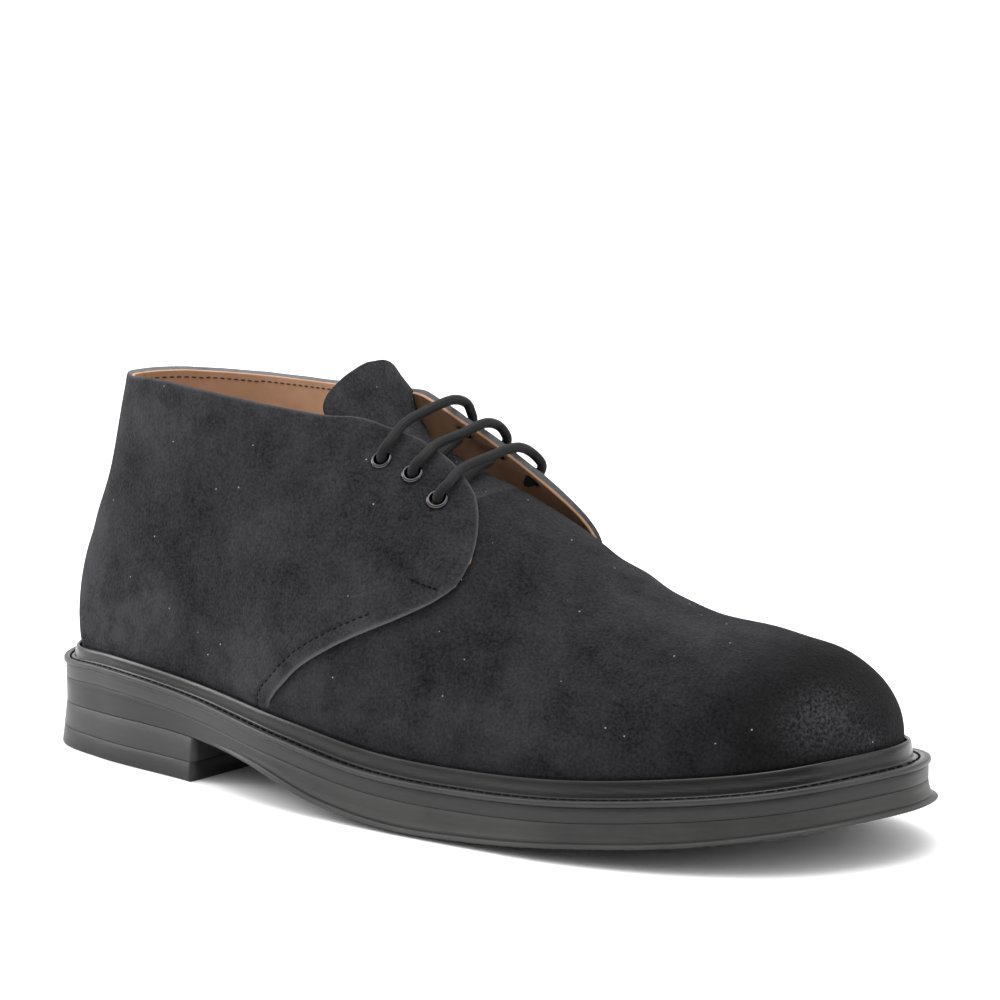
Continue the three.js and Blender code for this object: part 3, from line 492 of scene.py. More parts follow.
# %% Rubber of the sole, and waxed leather of the welt
def make_rubber(name, dark, light, rough, front=None):
    """Rubber, moulded and then buffed along its edge, which leaves marks that run along the sole, clouds of
    grey dust 18 mm wide and a half-dull shine. Real marks are about 0.1 mm high, too fine to show, so they
    are drawn 1 mm high and 13 mm long. front is a second pair of colours that takes over towards the
    forepart; it is painted light and shade, which darkens the midsole under the welt and lightens the
    outsole's toe."""
    material, tree, shader = finish(name, Roughness=rough, Specular_IOR_Level=0.4)
    place = add(tree, "ShaderNodeTexCoord").outputs["Object"]
    drawn_out = add(tree, "ShaderNodeMapping", {"Vector": place, "Scale": (0.12, 0.12, 1.6)})
    marks = []
    for vector, size, grain in ((drawn_out, 1.6, 0.6), (place, 18, 0.55)):
        look = {"Vector": vector, "Scale": 1000 / size, "Detail": 4, "Roughness": grain}
        spots = add(tree, NOISE, look)
        marks.append(add(tree, RANGE, {"Value": spots, "From Min": 0.3, "From Max": 0.7}))
    buffed, cloud = marks
    tone = add(tree, MATHS, {0: cloud, 1: 0.6}, operation="MULTIPLY")
    tone = add(tree, MATHS, {0: buffed, 1: 0.4, 2: tone}, operation="MULTIPLY_ADD")
    colour = add(tree, MIX, {0: tone, A: linear(dark), B: linear(light)}, data_type="RGBA")
    # Towards the forepart the colours blend to the second pair: painted light and shade that change along the
    # sole.
    if front:
        x = add(tree, "ShaderNodeSeparateXYZ", {"Vector": place}).outputs["X"]
        forward = add(tree, RANGE, {"Value": x, "From Min": -0.11, "From Max": 0.02})
        painted_forepart_tone = add(tree, MIX, {0: tone, A: linear(front[0]), B: linear(front[1])}, data_type="RGBA")
        colour = add(tree, MIX, {0: forward, A: colour, B: painted_forepart_tone}, data_type="RGBA")
    dull = add(tree, MATHS, {0: cloud, 1: 0.16, 2: rough - 0.08}, operation="MULTIPLY_ADD")
    bump = add(tree, "ShaderNodeBump", {"Height": buffed, "Strength": 0.2, "Distance": 0.0001})
    feed(tree, shader.inputs["Base Color"], colour)
    feed(tree, shader.inputs["Roughness"], dull)
    feed(tree, shader.inputs["Normal"], bump)
    return material


# The midsole's forepart colours are darker, a painted shadow under the welt; the outsole's are lighter,
# painted light on its toe.
midsole_rubber = make_rubber("moulded_rubber_midsole", "#222221", "#313130", 0.42, ("#141414", "#232323"))
sole_rubber = make_rubber("moulded_rubber_outsole", "#0f0f0f", "#1c1c1c", 0.44, ("#20201f", "#323231"))
heel_rubber = make_rubber("moulded_rubber_heel", "#202020", "#313130", 0.46)
# The welt's rounded outer edge is drawn a lighter grey than the black welt: a painted highlight along the
# edge.
welt_edge_highlight = make_rubber("welt_edge_painted_highlight", "#1e1e1e", "#303030", 0.4)
# The welt is leather, dyed through and polished with hot wax. It is buffed as the rubber is, but shines more.
welt_leather = make_rubber("waxed_welt_black", "#060606", "#0d0d0d", 0.26)
print("sole:", midsole_rubber.name, sole_rubber.name, heel_rubber.name, welt_edge_highlight.name, welt_leather.name)

# %% Thread, eyelet metal and cord
# Twisted thread drawn through wax: thinner than its beads can show a twist, so it is one dull tone.
thread = finish("waxed_thread_black", Base_Color=linear("#070707"), Roughness=0.9, Specular_IOR_Level=0.1)[0]
brown_thread = finish("waxed_thread_brown", Base_Color=linear("#3d2a1e"), Roughness=0.6)[0]
# Brass, stamped, tumbled smooth and plated dark: a sharp grey reflection with no grain.
gunmetal = finish("gunmetal_plated_brass", Base_Color=linear("#4a4a4e"), Metallic=1.0, Roughness=0.16)[0]


def make_cord(name, wave=5.7, strands=4.0):
    """Waxed cotton braid: threads plaited round a core and waxed, so each crossing is a dull bump with a gap
    beside it, which is drawn darker as painted shade. The plait follows the cord's own length and turn. A
    real crossing takes about 0.5 mm, too fine to show, so one is drawn each 1.1 mm, which is 2 pi over 5.7."""
    material, tree, shader = finish(name, Roughness=0.72, Specular_IOR_Level=0.25, Sheen_Weight=0.04)
    run, turn = (add(tree, VALUE, attribute_name=key).outputs["Fac"] for key in ("run", "turn"))
    wound = []
    for hand in (strands, -strands):
        twist = add(tree, MATHS, {0: turn, 1: hand}, operation="MULTIPLY")
        phase = add(tree, MATHS, {0: run, 1: wave, 2: twist}, operation="MULTIPLY_ADD")
        wound.append(add(tree, MATHS, {0: phase}, operation="SINE"))
    plait = add(tree, MATHS, {0: wound[0], 1: wound[1]}, operation="MULTIPLY")
    plait = add(tree, RANGE, {"Value": plait, "From Min": -1, "From Max": 1})
    # The low parts of the plait are drawn darker: painted shade in the gaps between the threads.
    colour = add(tree, MIX, {0: plait, A: linear("#070707"), B: linear("#171717")}, data_type="RGBA")
    bump = add(tree, "ShaderNodeBump", {"Height": plait, "Strength": 0.5, "Distance": 0.0002})
    feed(tree, shader.inputs["Base Color"], colour)
    feed(tree, shader.inputs["Normal"], bump)
    return material


lace_cord = make_cord("waxed_cotton_cord")
print("materials:", len(bpy.data.materials))

# %% [markdown]
# ## The vamp
#
# The vamp is the front of the boot, one piece of suede pulled over the toe. It could be a box-modelled
# shape under a subdivision surface, but the last already says where its skin is, so the grid only has to
# choose points on it: sections that turn about a point above the instep, then upright ones to the toe.

# %% Vamp
def vamp_grid(last, rows=(60, 100), columns=182):
    """Sections from under the quarters to the toe; each goes from the outer feather over the ridge to the
    inner one. The closeness to the ridge follows the sine of the way round, to a power just under 1 that
    spreads the rows evenly. The first sections turn back 40 degrees at the feather and 32.1 at the ridge."""
    round_it = np.linspace(0, np.pi, columns)
    q = np.sin(round_it) ** 0.91
    back_turn = np.radians(np.interp(q, [0, 0.5, 1], [40, 36.5, 32.1]))
    turn = back_turn[None, :] * (1 - np.linspace(0, 1, rows[0], endpoint=False))[:, None]
    way = np.stack([np.sin(turn), np.cos(turn)], axis=2)
    low, near = np.interp(turn, *last.base), np.interp(turn, *last.near)
    fan_part = FAN - way * (low + (near - low) * q)[..., None]
    x = FAN[0] + (last.toe - FAN[0]) * np.sin(np.linspace(0, np.pi / 2, rows[1]))
    feet, tops = last.upright(x)
    upright = feet[:, None] + (tops - feet)[:, None] * q[None, :, None]
    flat = np.vstack([fan_part, upright])
    outer, inner = last.widths(flat[..., 0], flat[..., 1])
    y = np.where(round_it <= np.pi / 2, outer, inner)
    return np.stack([flat[..., 0], y, flat[..., 1]], axis=2)


def trough(points, line, width, depth):
    """Depth of a soft crease: depth times exp of minus the squared distance to its line over width."""
    curve = traced(line, 40)
    return depth * np.exp(-(nearest(points, curve) / width) ** 2)


def patches(points, rows):
    """Soft round patches: each row is a centre, its reach along x, y and z, and its strength, which fades by
    the square of the distance over the reach."""
    return sum(strength * np.exp(-(((points - np.array(centre)) / np.array(reach)) ** 2).sum(axis=-1))
               for centre, reach, strength in rows)


VAMP_CREASES = [  # line of points, width, depth: where the forefoot bends, and where the toe puff ends
    ([[188, -30, 62], [194, -12, 73], [197, 6, 76], [193, 24, 72]], 6.0, 0.55),
    ([[207, -32, 52], [212, -14, 64], [214, 6, 67], [209, 28, 62]], 6.5, 0.45),
    ([[199, -32, 57], [203, -12, 69], [205, 8, 72], [201, 27, 67]], 4.5, -0.3),
    ([[252, -28, 40], [259, -8, 54], [261, 14, 56], [257, 32, 50]], 7.0, 0.4),
    ([[226, -40, 32], [232, -34, 42], [240, -26, 50]], 7.0, 0.4),
    ([[176, -44, 40], [186, -42, 50], [196, -34, 58]], 8.0, 0.5),
]
# The vamp's pale patches are partly brushed nap and partly painted light on its top and its low outer side.
VAMP_BRUSHED_AND_LIT = [((222, 2, 62), (20, 16, 12), 0.35), ((130, -47, 33), (22, 12, 12), 0.45),
             ((196, -46, 30), (18, 12, 10), 0.25)]
VAMP_SCUFFS = [((284, -8, 41), (9, 15, 9), 1.0), ((290, 6, 33), (4, 9, 4), 0.6)]
SKIVED = 0.25  # the vamp's back edge is shaved to this where the tongue joins it

vamp = vamp_grid(vamp_last)
sink = sum(trough(vamp, line, width, depth) for line, width, depth in VAMP_CREASES)
x, y, z = vamp[..., 0], vamp[..., 1], vamp[..., 2]
over_rib = smooth((z - rim_top(x) - 8) / 8)
# Hand-lasted suede is never quite even: low swells 0.22 mm high and about 60 mm long.
wave = 0.22 * np.sin(x / 9.0 + y / 14.0) * np.sin(z / 11.0 + y / 17.0 + 1.0) * over_rib
vamp = vamp - normals(vamp, 1) * (sink + wave)[..., None]
wall = SKIVED + (WALL - SKIVED) * smooth((x - 171.5) / 9)
wall = np.where((z > 78) & (x < 182), wall, WALL) - 1.5 * smooth((x - vamp_last.toe + 14) / 10)
# The toe is burnished from x = 240 on, a little less low down, and the whole vamp is drawn darker by a fifth
# of the toe's amount.
toe_burnish = 0.2 + 0.8 * smooth((x - 240) / 44) * (0.8 + 0.2 * smooth((z - 34) / 14))
shell("vamp", vamp, 1, wall, [suede], burnish=toe_burnish,
      scuff=np.clip(patches(vamp, VAMP_SCUFFS), 0, 1), pale=patches(vamp, VAMP_BRUSHED_AND_LIT))

# %% [markdown]
# ## The quarters
#
# Two quarters wrap the heel and carry the eyelets. Each is bounded by four curves: the back seam, the line
# where it tucks under the welt, the front edge and the top line. A Coons patch blends those four curves
# into a grid that runs cleanly along each edge. It is worked out in x and in the height measured obliquely,
# z less the outward y, because a straight knife cut through the bulging form is a plain curve there.

# %% Edges of the quarters
OUTER_FRONT = np.array([
    [96, -14, 116], [108, -18, 113], [120, -17.4, 111.2], [128, -13.3, 109.8], [139, -9.3, 106.6],
    [146, -7.9, 103.8], [152, -8.1, 101], [158, -9, 97.4], [166, -11.9, 91.4], [172.8, -19.3, 82.9],
    [175.4, -26.1, 75.5], [174.5, -31.8, 69], [170.6, -35.4, 64.9], [160.8, -40, 59.5], [138.4, -44.7, 48.7],
    [126.8, -45.9, 41.6], [118.4, -46.3, 33.7], [110.5, -42.4, 24], [107, -45, 14]])
INNER_FRONT = np.array([
    [90, 16, 116], [102, 19, 114.5], [114, 19.4, 113.4], [126, 14.8, 114], [136, 11.4, 113],
    [148.6, 10.8, 107.4], [160, 13, 100], [170, 16, 92.6], [176.8, 21.6, 84], [179, 28, 76],
    [177.6, 33.4, 69.4], [173.6, 37, 64.8], [163, 41, 58.8], [141, 43, 48.4], [129.5, 42, 41.4],
    [121.5, 40.5, 33.6], [114, 36, 24], [110, 36, 14]])
OUTER_COLLAR = np.array([[16, 114.6], [33, 115.5], [55, 116.9], [82, 115.3], [104, 112.9], [120, 111.2],
                         [128, 112], [134, 118]])
INNER_COLLAR = np.array([[16, 114.6], [33, 113], [47, 112.5], [72, 111.8], [96, 112.2], [113, 113.3],
                         [122, 115.5], [130, 121]])
NEAR_SEAM = 12  # columns next to the back seam that follow a parabola, so that the heel is round there


def height_on(last, side, x, oblique):
    """The z where z - side * y reaches the oblique height, found by halving the interval."""
    low, high = rim_top(x) - 6, np.full(np.shape(x), 160.0)
    for _ in range(34):
        middle = (low + high) / 2
        under = middle - side * last.y(side, x, middle) < oblique
        low, high = np.where(under, middle, low), np.where(under, high, middle)
    return (low + high) / 2


def by_length(points, count, law=lambda t: t):
    """Points of a dense curve at even, or lawful, fractions of its length."""
    reach = np.concatenate([[0], np.cumsum(np.linalg.norm(np.diff(points, axis=0), axis=1))])
    s = law(np.linspace(0, 1, count)) * reach[-1]
    return np.stack([np.interp(s, reach, points[:, k]) for k in range(points.shape[1])], axis=1)


def quarter_grid(side, front, collar, corner, shape=(140, 230)):
    """Coons patch S = (1-v)B + vT + (1-u)L + uR less the blended corners, set on the form."""
    last = Last(crest="outer" if side < 0 else "inner", front=front[4:][:, [0, 2]])
    edge = traced(front, 600, 0.6)
    turned = edge[:, 2] - side * edge[:, 1]
    corner_at = np.argmin(np.linalg.norm(edge - front[corner], axis=1))

    def on(x, z):
        return np.c_[x, last.y(side, x, z), z]

    def at(x, oblique):
        return on(x, height_on(last, side, x, oblique))

    t = np.linspace(0, 1, 500)
    lower = at(edge[corner_at:, 0], turned[corner_at:])
    lower = lower[lower[:, 2] > rim_top(lower[:, 0]) - 1][::-1]
    foot_x = last.heel + (lower[0, 0] - last.heel) * t ** 2
    foot = on(foot_x, rim_top(foot_x) - 1)
    foot[-1] = lower[0]
    top_line = traced(collar, 300, 0.6)
    start_z = top_line[0, 1]
    start_x = float(last.back(start_z))
    reach_x = start_x + (134 - start_x) * t ** 2
    top_z = np.interp(reach_x, top_line[:, 0], top_line[:, 1])
    top = on(reach_x, top_z)
    upper_edge = edge[:corner_at + 1]
    facing = np.interp(reach_x, upper_edge[:, 0], turned[:corner_at + 1], left=1e3)
    cut = np.argmax((top[:, 2] - side * top[:, 1] > facing) & (reach_x > 98))
    rest = upper_edge[:, 0] > reach_x[cut]
    top = np.vstack([top[:cut], at(upper_edge[rest, 0], turned[:corner_at + 1][rest])])
    seam_z = np.linspace(rim_top(last.heel) - 1, start_z, 300)
    seam = on(last.back(seam_z), seam_z)
    ease_u, ease_v = lambda k: np.sin(k * np.pi / 2) * 0.85 + k * 0.15, lambda k: np.sin(k * np.pi / 2)
    lines = [by_length(foot, shape[1], ease_u), by_length(top, shape[1], ease_u),
             by_length(seam, shape[0], ease_v), by_length(lower, shape[0], ease_v)]
    b, tp, l, r = (np.c_[p[:, 0], p[:, 2] - side * p[:, 1]] for p in lines)
    u, v = ease_u(np.linspace(0, 1, shape[1])), ease_v(np.linspace(0, 1, shape[0]))
    u, v = u[None, :, None], v[:, None, None]
    flat = (1 - v) * b[None] + v * tp[None] + (1 - u) * l[:, None] + u * r[:, None]
    flat = flat - (1 - u) * (1 - v) * b[0] - u * (1 - v) * b[-1] - (1 - u) * v * tp[0] - u * v * tp[-1]
    z = height_on(last, side, flat[..., 0], flat[..., 1])
    grid = np.stack([flat[..., 0], last.y(side, flat[..., 0], z), z], axis=2)
    back, t = lines[2][:, None], (np.arange(NEAR_SEAM) / NEAR_SEAM)[None, :, None]
    forward = grid[:, NEAR_SEAM:NEAR_SEAM + 1] - back
    grid[:, :NEAR_SEAM] = back + forward * np.concatenate([t * t, t, t], axis=2)
    return grid, last


outer_skin, outer_last = quarter_grid(-1, OUTER_FRONT, OUTER_COLLAR, 11)
inner_skin, inner_last = quarter_grid(1, INNER_FRONT, INNER_COLLAR, 10)
print("outer quarter spans", np.round(np.ptp(outer_skin, axis=(0, 1)), 1), "mm")

# %% Eyelet places
EYELETS = {  # side, x, z
    "eyelet_outer_1": (-1, 137.1, 99.7), "eyelet_outer_2": (-1, 147.9, 96.5),
    "eyelet_outer_3": (-1, 158.4, 90.2), "eyelet_inner_1": (1, 141.0, 105.0),
    "eyelet_inner_2": (1, 152.0, 99.5), "eyelet_inner_3": (1, 162.5, 92.0)}


def seat(side, x, z, step=0.5):
    """Point and outward normal of a quarter at x and z, from the slopes of y."""
    last = outer_last if side < 0 else inner_last
    y = float(last.y(side, x, z))
    by_x = float(last.y(side, x + step, z) - last.y(side, x - step, z)) / (2 * step)
    by_z = float(last.y(side, x, z + step) - last.y(side, x, z - step)) / (2 * step)
    way = np.array([-by_x, 1, -by_z]) * side
    return np.array([x, y, z]), way / np.linalg.norm(way)


seats = {name: seat(*where) for name, where in EYELETS.items()}
print("first eyelet sits at", np.round(seats["eyelet_outer_1"][0], 2))

# %% Suede of the quarters
def ranges(grid):
    """Distance of each point to the front edge and to the top line, along its own row or column."""
    return (np.linalg.norm(grid - grid[:, -1:], axis=2), np.linalg.norm(grid - grid[-1:], axis=2))


def bored(grid, side, radius, clear):
    """Opens a round hole at each eyelet: cells inside go, and points left inside move out to the radius."""
    keep = np.ones((grid.shape[0] - 1, grid.shape[1] - 1), bool)
    middle = (grid[1:, 1:] + grid[:-1, :-1]) / 2
    grid = grid.copy()
    for name, (where, way) in seats.items():
        if EYELETS[name][0] != side:
            continue
        keep &= np.linalg.norm(middle - where, axis=2) > clear
        off = grid - where
        across = off - (off @ way)[..., None] * way
        reach = np.linalg.norm(across, axis=2)
        inside = (reach < radius) & (np.linalg.norm(off, axis=2) < radius + 2)
        push = across * (radius / np.maximum(reach, 1e-6) - 1)[..., None]
        grid = np.where(inside[..., None], grid + push, grid)
    return grid, keep


QUARTER_CREASES = [  # where the stiffener ends above the heel, and soft pulls towards the eyelets
    ([[10, -14, 66], [28, -25, 67], [48, -31, 63], [70, -36, 52], [84, -40, 40]], 5.0, 0.45),
    ([[28, -24, 92], [60, -27, 88], [92, -30, 80]], 9.0, 0.5),
    ([[116, -36, 84], [128, -34, 86], [140, -29, 88], [150, -26, 86]], 7.0, 0.4),
    ([[92, -40, 62], [112, -41, 60], [132, -42, 57]], 7.0, -0.4),
    ([[18, -24, 48], [26, -30, 40], [40, -35, 36]], 4.0, 0.3),
]
# The quarters' pale patches are partly brushed nap and partly painted light where the heel's side and the
# band below the top line face the light.
QUARTER_BRUSHED_AND_LIT = [  # heel, its side, the row over it, the waist, and two bands below the top line
    ((14, -22, 52), (16, 12, 16), 0.9), ((40, -34, 40), (24, 12, 12), 0.8), ((56, -33, 50), (11, 10, 6), 0.5),
    ((104, -44, 34), (14, 9, 16), 0.45), ((40, -25, 104), (40, 14, 10), 0.3),
    ((75, -35, 108), (70, 14, 11), 0.35), ((20, -22, 80), (14, 12, 24), 0.25)]
QUARTER_SCUFFS = [((20, -28, 40), (9, 9, 6), 0.5)]
HOLE = 2.45  # radius of the hole under an eyelet


def quarter(side, grid, name):
    """Suede skin with its edges rolled down by 0.4 to 0.5 mm, a seam trough 0.26 mm deep behind the front
    edge, its creases, swells 0.28 mm high, and a ruffle of 0.16 mm at the top line where the row of stitches
    draws it in. Both quarters share the tables, mirrored in y."""
    outward = normals(grid, side)
    to_front, to_top = ranges(grid)
    edge = 0.5 * np.exp(-to_front / 0.7) + 0.4 * np.exp(-to_top / 0.6)
    seam_fade = 1 - smooth((grid[..., 2] - 46) / 26)
    edge = edge + 0.26 * np.exp(-((to_front - SEAM_AT) / 0.6) ** 2) * seam_fade
    mirror = np.array([1, -side, 1])
    creases = sum(trough(grid * mirror, line, width, depth) for line, width, depth in QUARTER_CREASES)
    x, y, z = grid[..., 0], grid[..., 1], grid[..., 2]
    inner_area = smooth(to_front / 10) * smooth(to_top / 10) * smooth((z - rim_top(x) - 6) / 8)
    wave = 0.28 * np.sin(x / 12.0 + 0.6) * np.sin(z / 10.0 + x / 30.0) * inner_area
    ruffle = 0.16 * np.sin(x / 2.3) * np.exp(-to_top / 1.5)
    skin = grid - outward * (edge + creases * inner_area + wave + ruffle)[..., None]
    # Paler in bands about 2 mm wide behind the front edge and 1 mm below the top line: painted highlight
    # along the edges.
    pale = patches(skin * mirror, QUARTER_BRUSHED_AND_LIT) + 0.6 * np.exp(-to_front / 2.2) + 0.6 * np.exp(-to_top / 1.3)
    scuff = patches(skin * mirror, QUARTER_SCUFFS)
    skin, keep = bored(skin, side, HOLE, HOLE - 0.15)
    # A light grey line right on the front edge and the top line: partly the raw edge's own grey, partly a
    # painted highlight.
    worn = 0.55 * np.exp(-(to_front / 0.8) ** 2) + 0.3 * np.exp(-(to_top / 0.6) ** 2)
    item = shell(name, skin, side, SUEDE, [suede, lit_suede_edge, suede], keep,
                 pale=np.clip(pale, 0, 1), burnish=np.zeros(x.shape), scuff=scuff, worn=worn)
    return item, skin


outer_quarter, outer_suede = quarter(-1, outer_skin, "quarter_outer")
quarter(1, inner_skin, "quarter_inner")

# %% [markdown]
# ## The lining
#
# Thin calf is glued behind the suede and sewn to it along the top. A second wall on the suede could stand for
# it, but a patch of its own can stop short of the suede's edges and leave out what the vamp covers, so that
# nothing lies double.

# %% Calf lining of the quarters
LINING_AT = SUEDE + 0.05  # a hairline behind the suede
VAMP_BACK = ([12, 34, 46, 62, 87], [92, 104, 125, 150, 165])  # z, and x of the vamp's back edge there


def quarter_lining(side, grid, name):
    """The skin moved in behind the suede, short of it at the edges, and left out where it meets the vamp."""
    inside = grid - normals(grid, side) * LINING_AT
    inside = inside[:-11:2, :-11:2]
    middle = (inside[1:, 1:] + inside[:-1, :-1]) / 2
    x, z = middle[..., 0], middle[..., 2]
    vamp_back = np.interp(z, *VAMP_BACK)
    ridge = np.interp(x, vamp_last.ridge_by_x[:, 0], vamp_last.ridge_by_x[:, 1])
    clear_of_vamp = side * (middle[..., 1] - vamp_last.y(side, x, z)) > 0.9
    keep = (x < vamp_back + 3) | (z > ridge - 0.5) | clear_of_vamp
    inside, open_cells = bored(inside, side, HOLE + 0.05, HOLE + 0.15)
    return shell(name, inside, side, WALL - LINING_AT, [lining], keep & open_cells)


quarter_lining(-1, outer_skin, "lining_outer")
quarter_lining(1, inner_skin, "lining_inner")

# %% [markdown]
# ## The tongue
#
# The tongue is the same suede, stitched on under the vamp and carried up to a rounded top above the collar.
# Its rows are sections of the same last, so it lies where the vamp's own surface would go, and each row is
# as wide as the cut pattern says at that height.

# %% Tongue
TONGUE = dict(z=[60, 96, 106, 113, 119, 122.6, 124.4, 125], half=[16, 16, 17, 17.5, 14, 9, 4.5, 2])
tongue_last = Last(out=-1.2)


def tongue_grid(rows=130, columns=81):
    """Rows at turns of the fan from x = 170 to the top. Each spans half(z) either side of the middle, with z
    taken at its two ends, which the outer loop settles."""
    ridge = tongue_last.ridge
    keep = (ridge[:, 0] < 171) & (ridge[:, 1] < 124.98)
    middle = by_length(ridge[keep], rows, lambda k: np.sin(k * np.pi / 2))
    turn, near = tongue_last.to_fan(middle[:, 0], middle[:, 1])
    way = np.stack([np.sin(turn), np.cos(turn)], axis=1)
    half = np.full(rows, 16.0)
    for _ in range(8):
        across = np.linspace(-1, 1, columns)[None, :] * half[:, None]
        side = np.where(across < 0, 0, 1)
        low, high = np.zeros(across.shape), np.full(across.shape, 60.0)
        for _ in range(26):
            deep = (low + high) / 2
            x = FAN[0] - way[:, :1] * (near[:, None] + deep)
            z = FAN[1] - way[:, 1:] * (near[:, None] + deep)
            widths = np.stack(tongue_last.widths(x, z))
            off = np.abs(np.take_along_axis(widths, side[None], 0)[0] - swing(x))
            short = off < np.abs(across)
            low, high = np.where(short, deep, low), np.where(short, high, deep)
        edge_z = (z[:, 0] + z[:, -1]) / 2
        half = (half + cubic(edge_z, TONGUE["z"], TONGUE["half"])) / 2
    band = smooth((z - 96) / 8) * (1 - smooth((z - 112) / 14))
    level = np.where(across > 0, np.minimum(across / 9, 1), 0) * 0.85 * band
    x = x + level * (middle[:, :1] - x)
    wider = 2.0 * np.maximum(across / 17, 0) ** 2 * smooth((110 - z) / 8)
    return np.stack([x, swing(x) + across + wider + 0.6 * smooth((z - 100) / 15), z], axis=2)


tongue = tongue_grid()
x, z = tongue[..., 0], tongue[..., 2]
# The tongue rises 0.9 mm into the vamp's skived edge at its front and is padded by 0.5 mm at the top. Its
# sides curl in, and it has a dent where it is pulled on by hand.
rise = 0.9 * smooth((x - 150) / 13)
padding = 0.5 * smooth((z - 104) / 8)
curl = 0.35 * np.exp(-((np.abs(tongue[..., 1] - 1) - 17) / 3) ** 2)
dent = trough(tongue, [[121, -12, 114], [122, -2, 117], [121.5, 6, 118]], 3.0, 0.5)
tongue = tongue - normals(tongue, 1) * (rise + padding - curl - dent)[..., None]
tongue_piece = shell("tongue_cover", tongue, -1, 2.0, [tongue_suede, suede, lining],
                     pale=0.25 + 0 * x, burnish=0 * x, scuff=0 * x)

# %% [markdown]
# ## Insole, midsole, outsole and heel
#
# The layers under the foot are slabs with the same outline. Each is a stack of rings: the outline moved in
# by a small amount at each height, which also rounds every edge. Quads across close the top and bottom.

# %% Slabs from rings
RINGS = rim_outline(480)
SOLE_IN = 0.7


def flange(x):
    """The outsole's bottom edge runs out forward of the heel."""
    return 2.1 * smooth((x - HEEL_FRONT) / 50)


def ring(distance, height, outline=RINGS):
    """One ring: the outline moved in by distance, at the given height; both may follow x."""
    flat = inset(outline, distance)
    z = height(outline[:, 0]) if callable(height) else np.full(len(outline), float(height))
    return np.c_[flat, z]


def slab(name, levels, materials):
    """Rings joined from the top down, closed by quads between opposite points of the first and last."""
    rings = np.stack([ring(*level) for level in levels])
    n = rings.shape[1]
    sidewall = grid_quads(len(levels), n, wrap_cols=True)
    k = np.arange(1, n // 2 - 1)
    cap = np.c_[k, k + 1, n - k - 1, n - k]
    ends = np.array([[0, 1, n - 1], [n // 2, n // 2 + 1, n // 2 - 1]])
    last = (len(levels) - 1) * n
    faces = [sidewall, cap, ends, cap[:, ::-1] + last, ends[:, ::-1] + last]
    return mesh_object(name, rings.reshape(-1, 3), faces, materials, [0] * 5)


def midsole_top(x):
    """The layers' heights follow the rim, each a hairline below the one above."""
    return rim_top(x) - WELT_THICK - JOINT


def midsole_under(x):
    return midsole_top(x) - MIDSOLE_THICK


def outsole_top(x):
    return midsole_under(x) - JOINT


midsole_piece = slab("midsole_band", [
    (SOLE_IN + 1.2, midsole_top), (SOLE_IN + 0.1, midsole_top), (SOLE_IN, lambda x: midsole_top(x) - 0.12),
    (SOLE_IN - 0.05, lambda x: midsole_top(x) - 1.6), (SOLE_IN - 0.05, lambda x: midsole_under(x) + 1.6),
    (SOLE_IN, lambda x: midsole_under(x) + 0.12), (SOLE_IN + 0.1, midsole_under),
    (SOLE_IN + 1.2, midsole_under)], [midsole_rubber])


def foot(high):
    """Height over the sole's underside."""
    return lambda x: underside(x) + high


outsole_piece = slab("outsole_band", [
    (SOLE_IN + 1.2, outsole_top), (SOLE_IN + 0.1, outsole_top), (SOLE_IN, lambda x: outsole_top(x) - 0.12),
    (lambda x: SOLE_IN - 0.1 * flange(x), lambda x: (outsole_top(x) + underside(x)) / 2 + 1.2),
    (lambda x: SOLE_IN - 0.35 * flange(x), foot(2.3)), (lambda x: SOLE_IN - 0.6 * flange(x), foot(1.6)),
    (lambda x: SOLE_IN - 0.42 * flange(x), foot(1.35)), (lambda x: SOLE_IN - 1.2 * flange(x), foot(1.0)),
    (lambda x: SOLE_IN - 1.32 * flange(x), foot(0.75)), (lambda x: SOLE_IN - 1.25 * flange(x), foot(0.35)),
    (lambda x: SOLE_IN + 0.1 - 1.0 * flange(x), foot(0.05)),
    (lambda x: SOLE_IN + 1.2 - 0.9 * flange(x), underside)], [sole_rubber])
insole_piece = slab("insole_sock", [
    (lambda x: welt_wide(x) + WALL + 2.2, lambda x: rim_top(x) + 1.9),
    (lambda x: welt_wide(x) + WALL + 0.9, lambda x: rim_top(x) + 2.0),
    (lambda x: welt_wide(x) + WALL + 0.4, lambda x: rim_top(x) + 1.6),
    (lambda x: welt_wide(x) + WALL + 0.4, lambda x: rim_top(x) - 0.8),
    (lambda x: welt_wide(x) + WALL + 1.2, lambda x: rim_top(x) - 1.0)], [insole_leather])

# %% [markdown]
# ## The heel and the studs
#
# The heel is two blocks under the outsole, cut off straight at the breast and a little wider at the ground.
# They could be cut from the slabs with a boolean, but a ring that is already cut keeps its edges clean. The
# studs are small moulded feet, so one lathe of 96 points is repeated for them.

# %% Heel lift, top piece and forepart studs
HEEL_EDGE = [  # moved in by, share of the height, and more height: from the top's rim to the bottom's
    (0.8, 1, 0), (0.12, 1, 0), (0, 1, -0.15), (0, 0.5, 0), (0, 0, 0.15), (0.12, 0, 0), (0.8, 0, 0)]
SEAT_HEIGHT, FLARE = 13.0, 1.6  # the heel's height, and how far each side runs out towards the ground


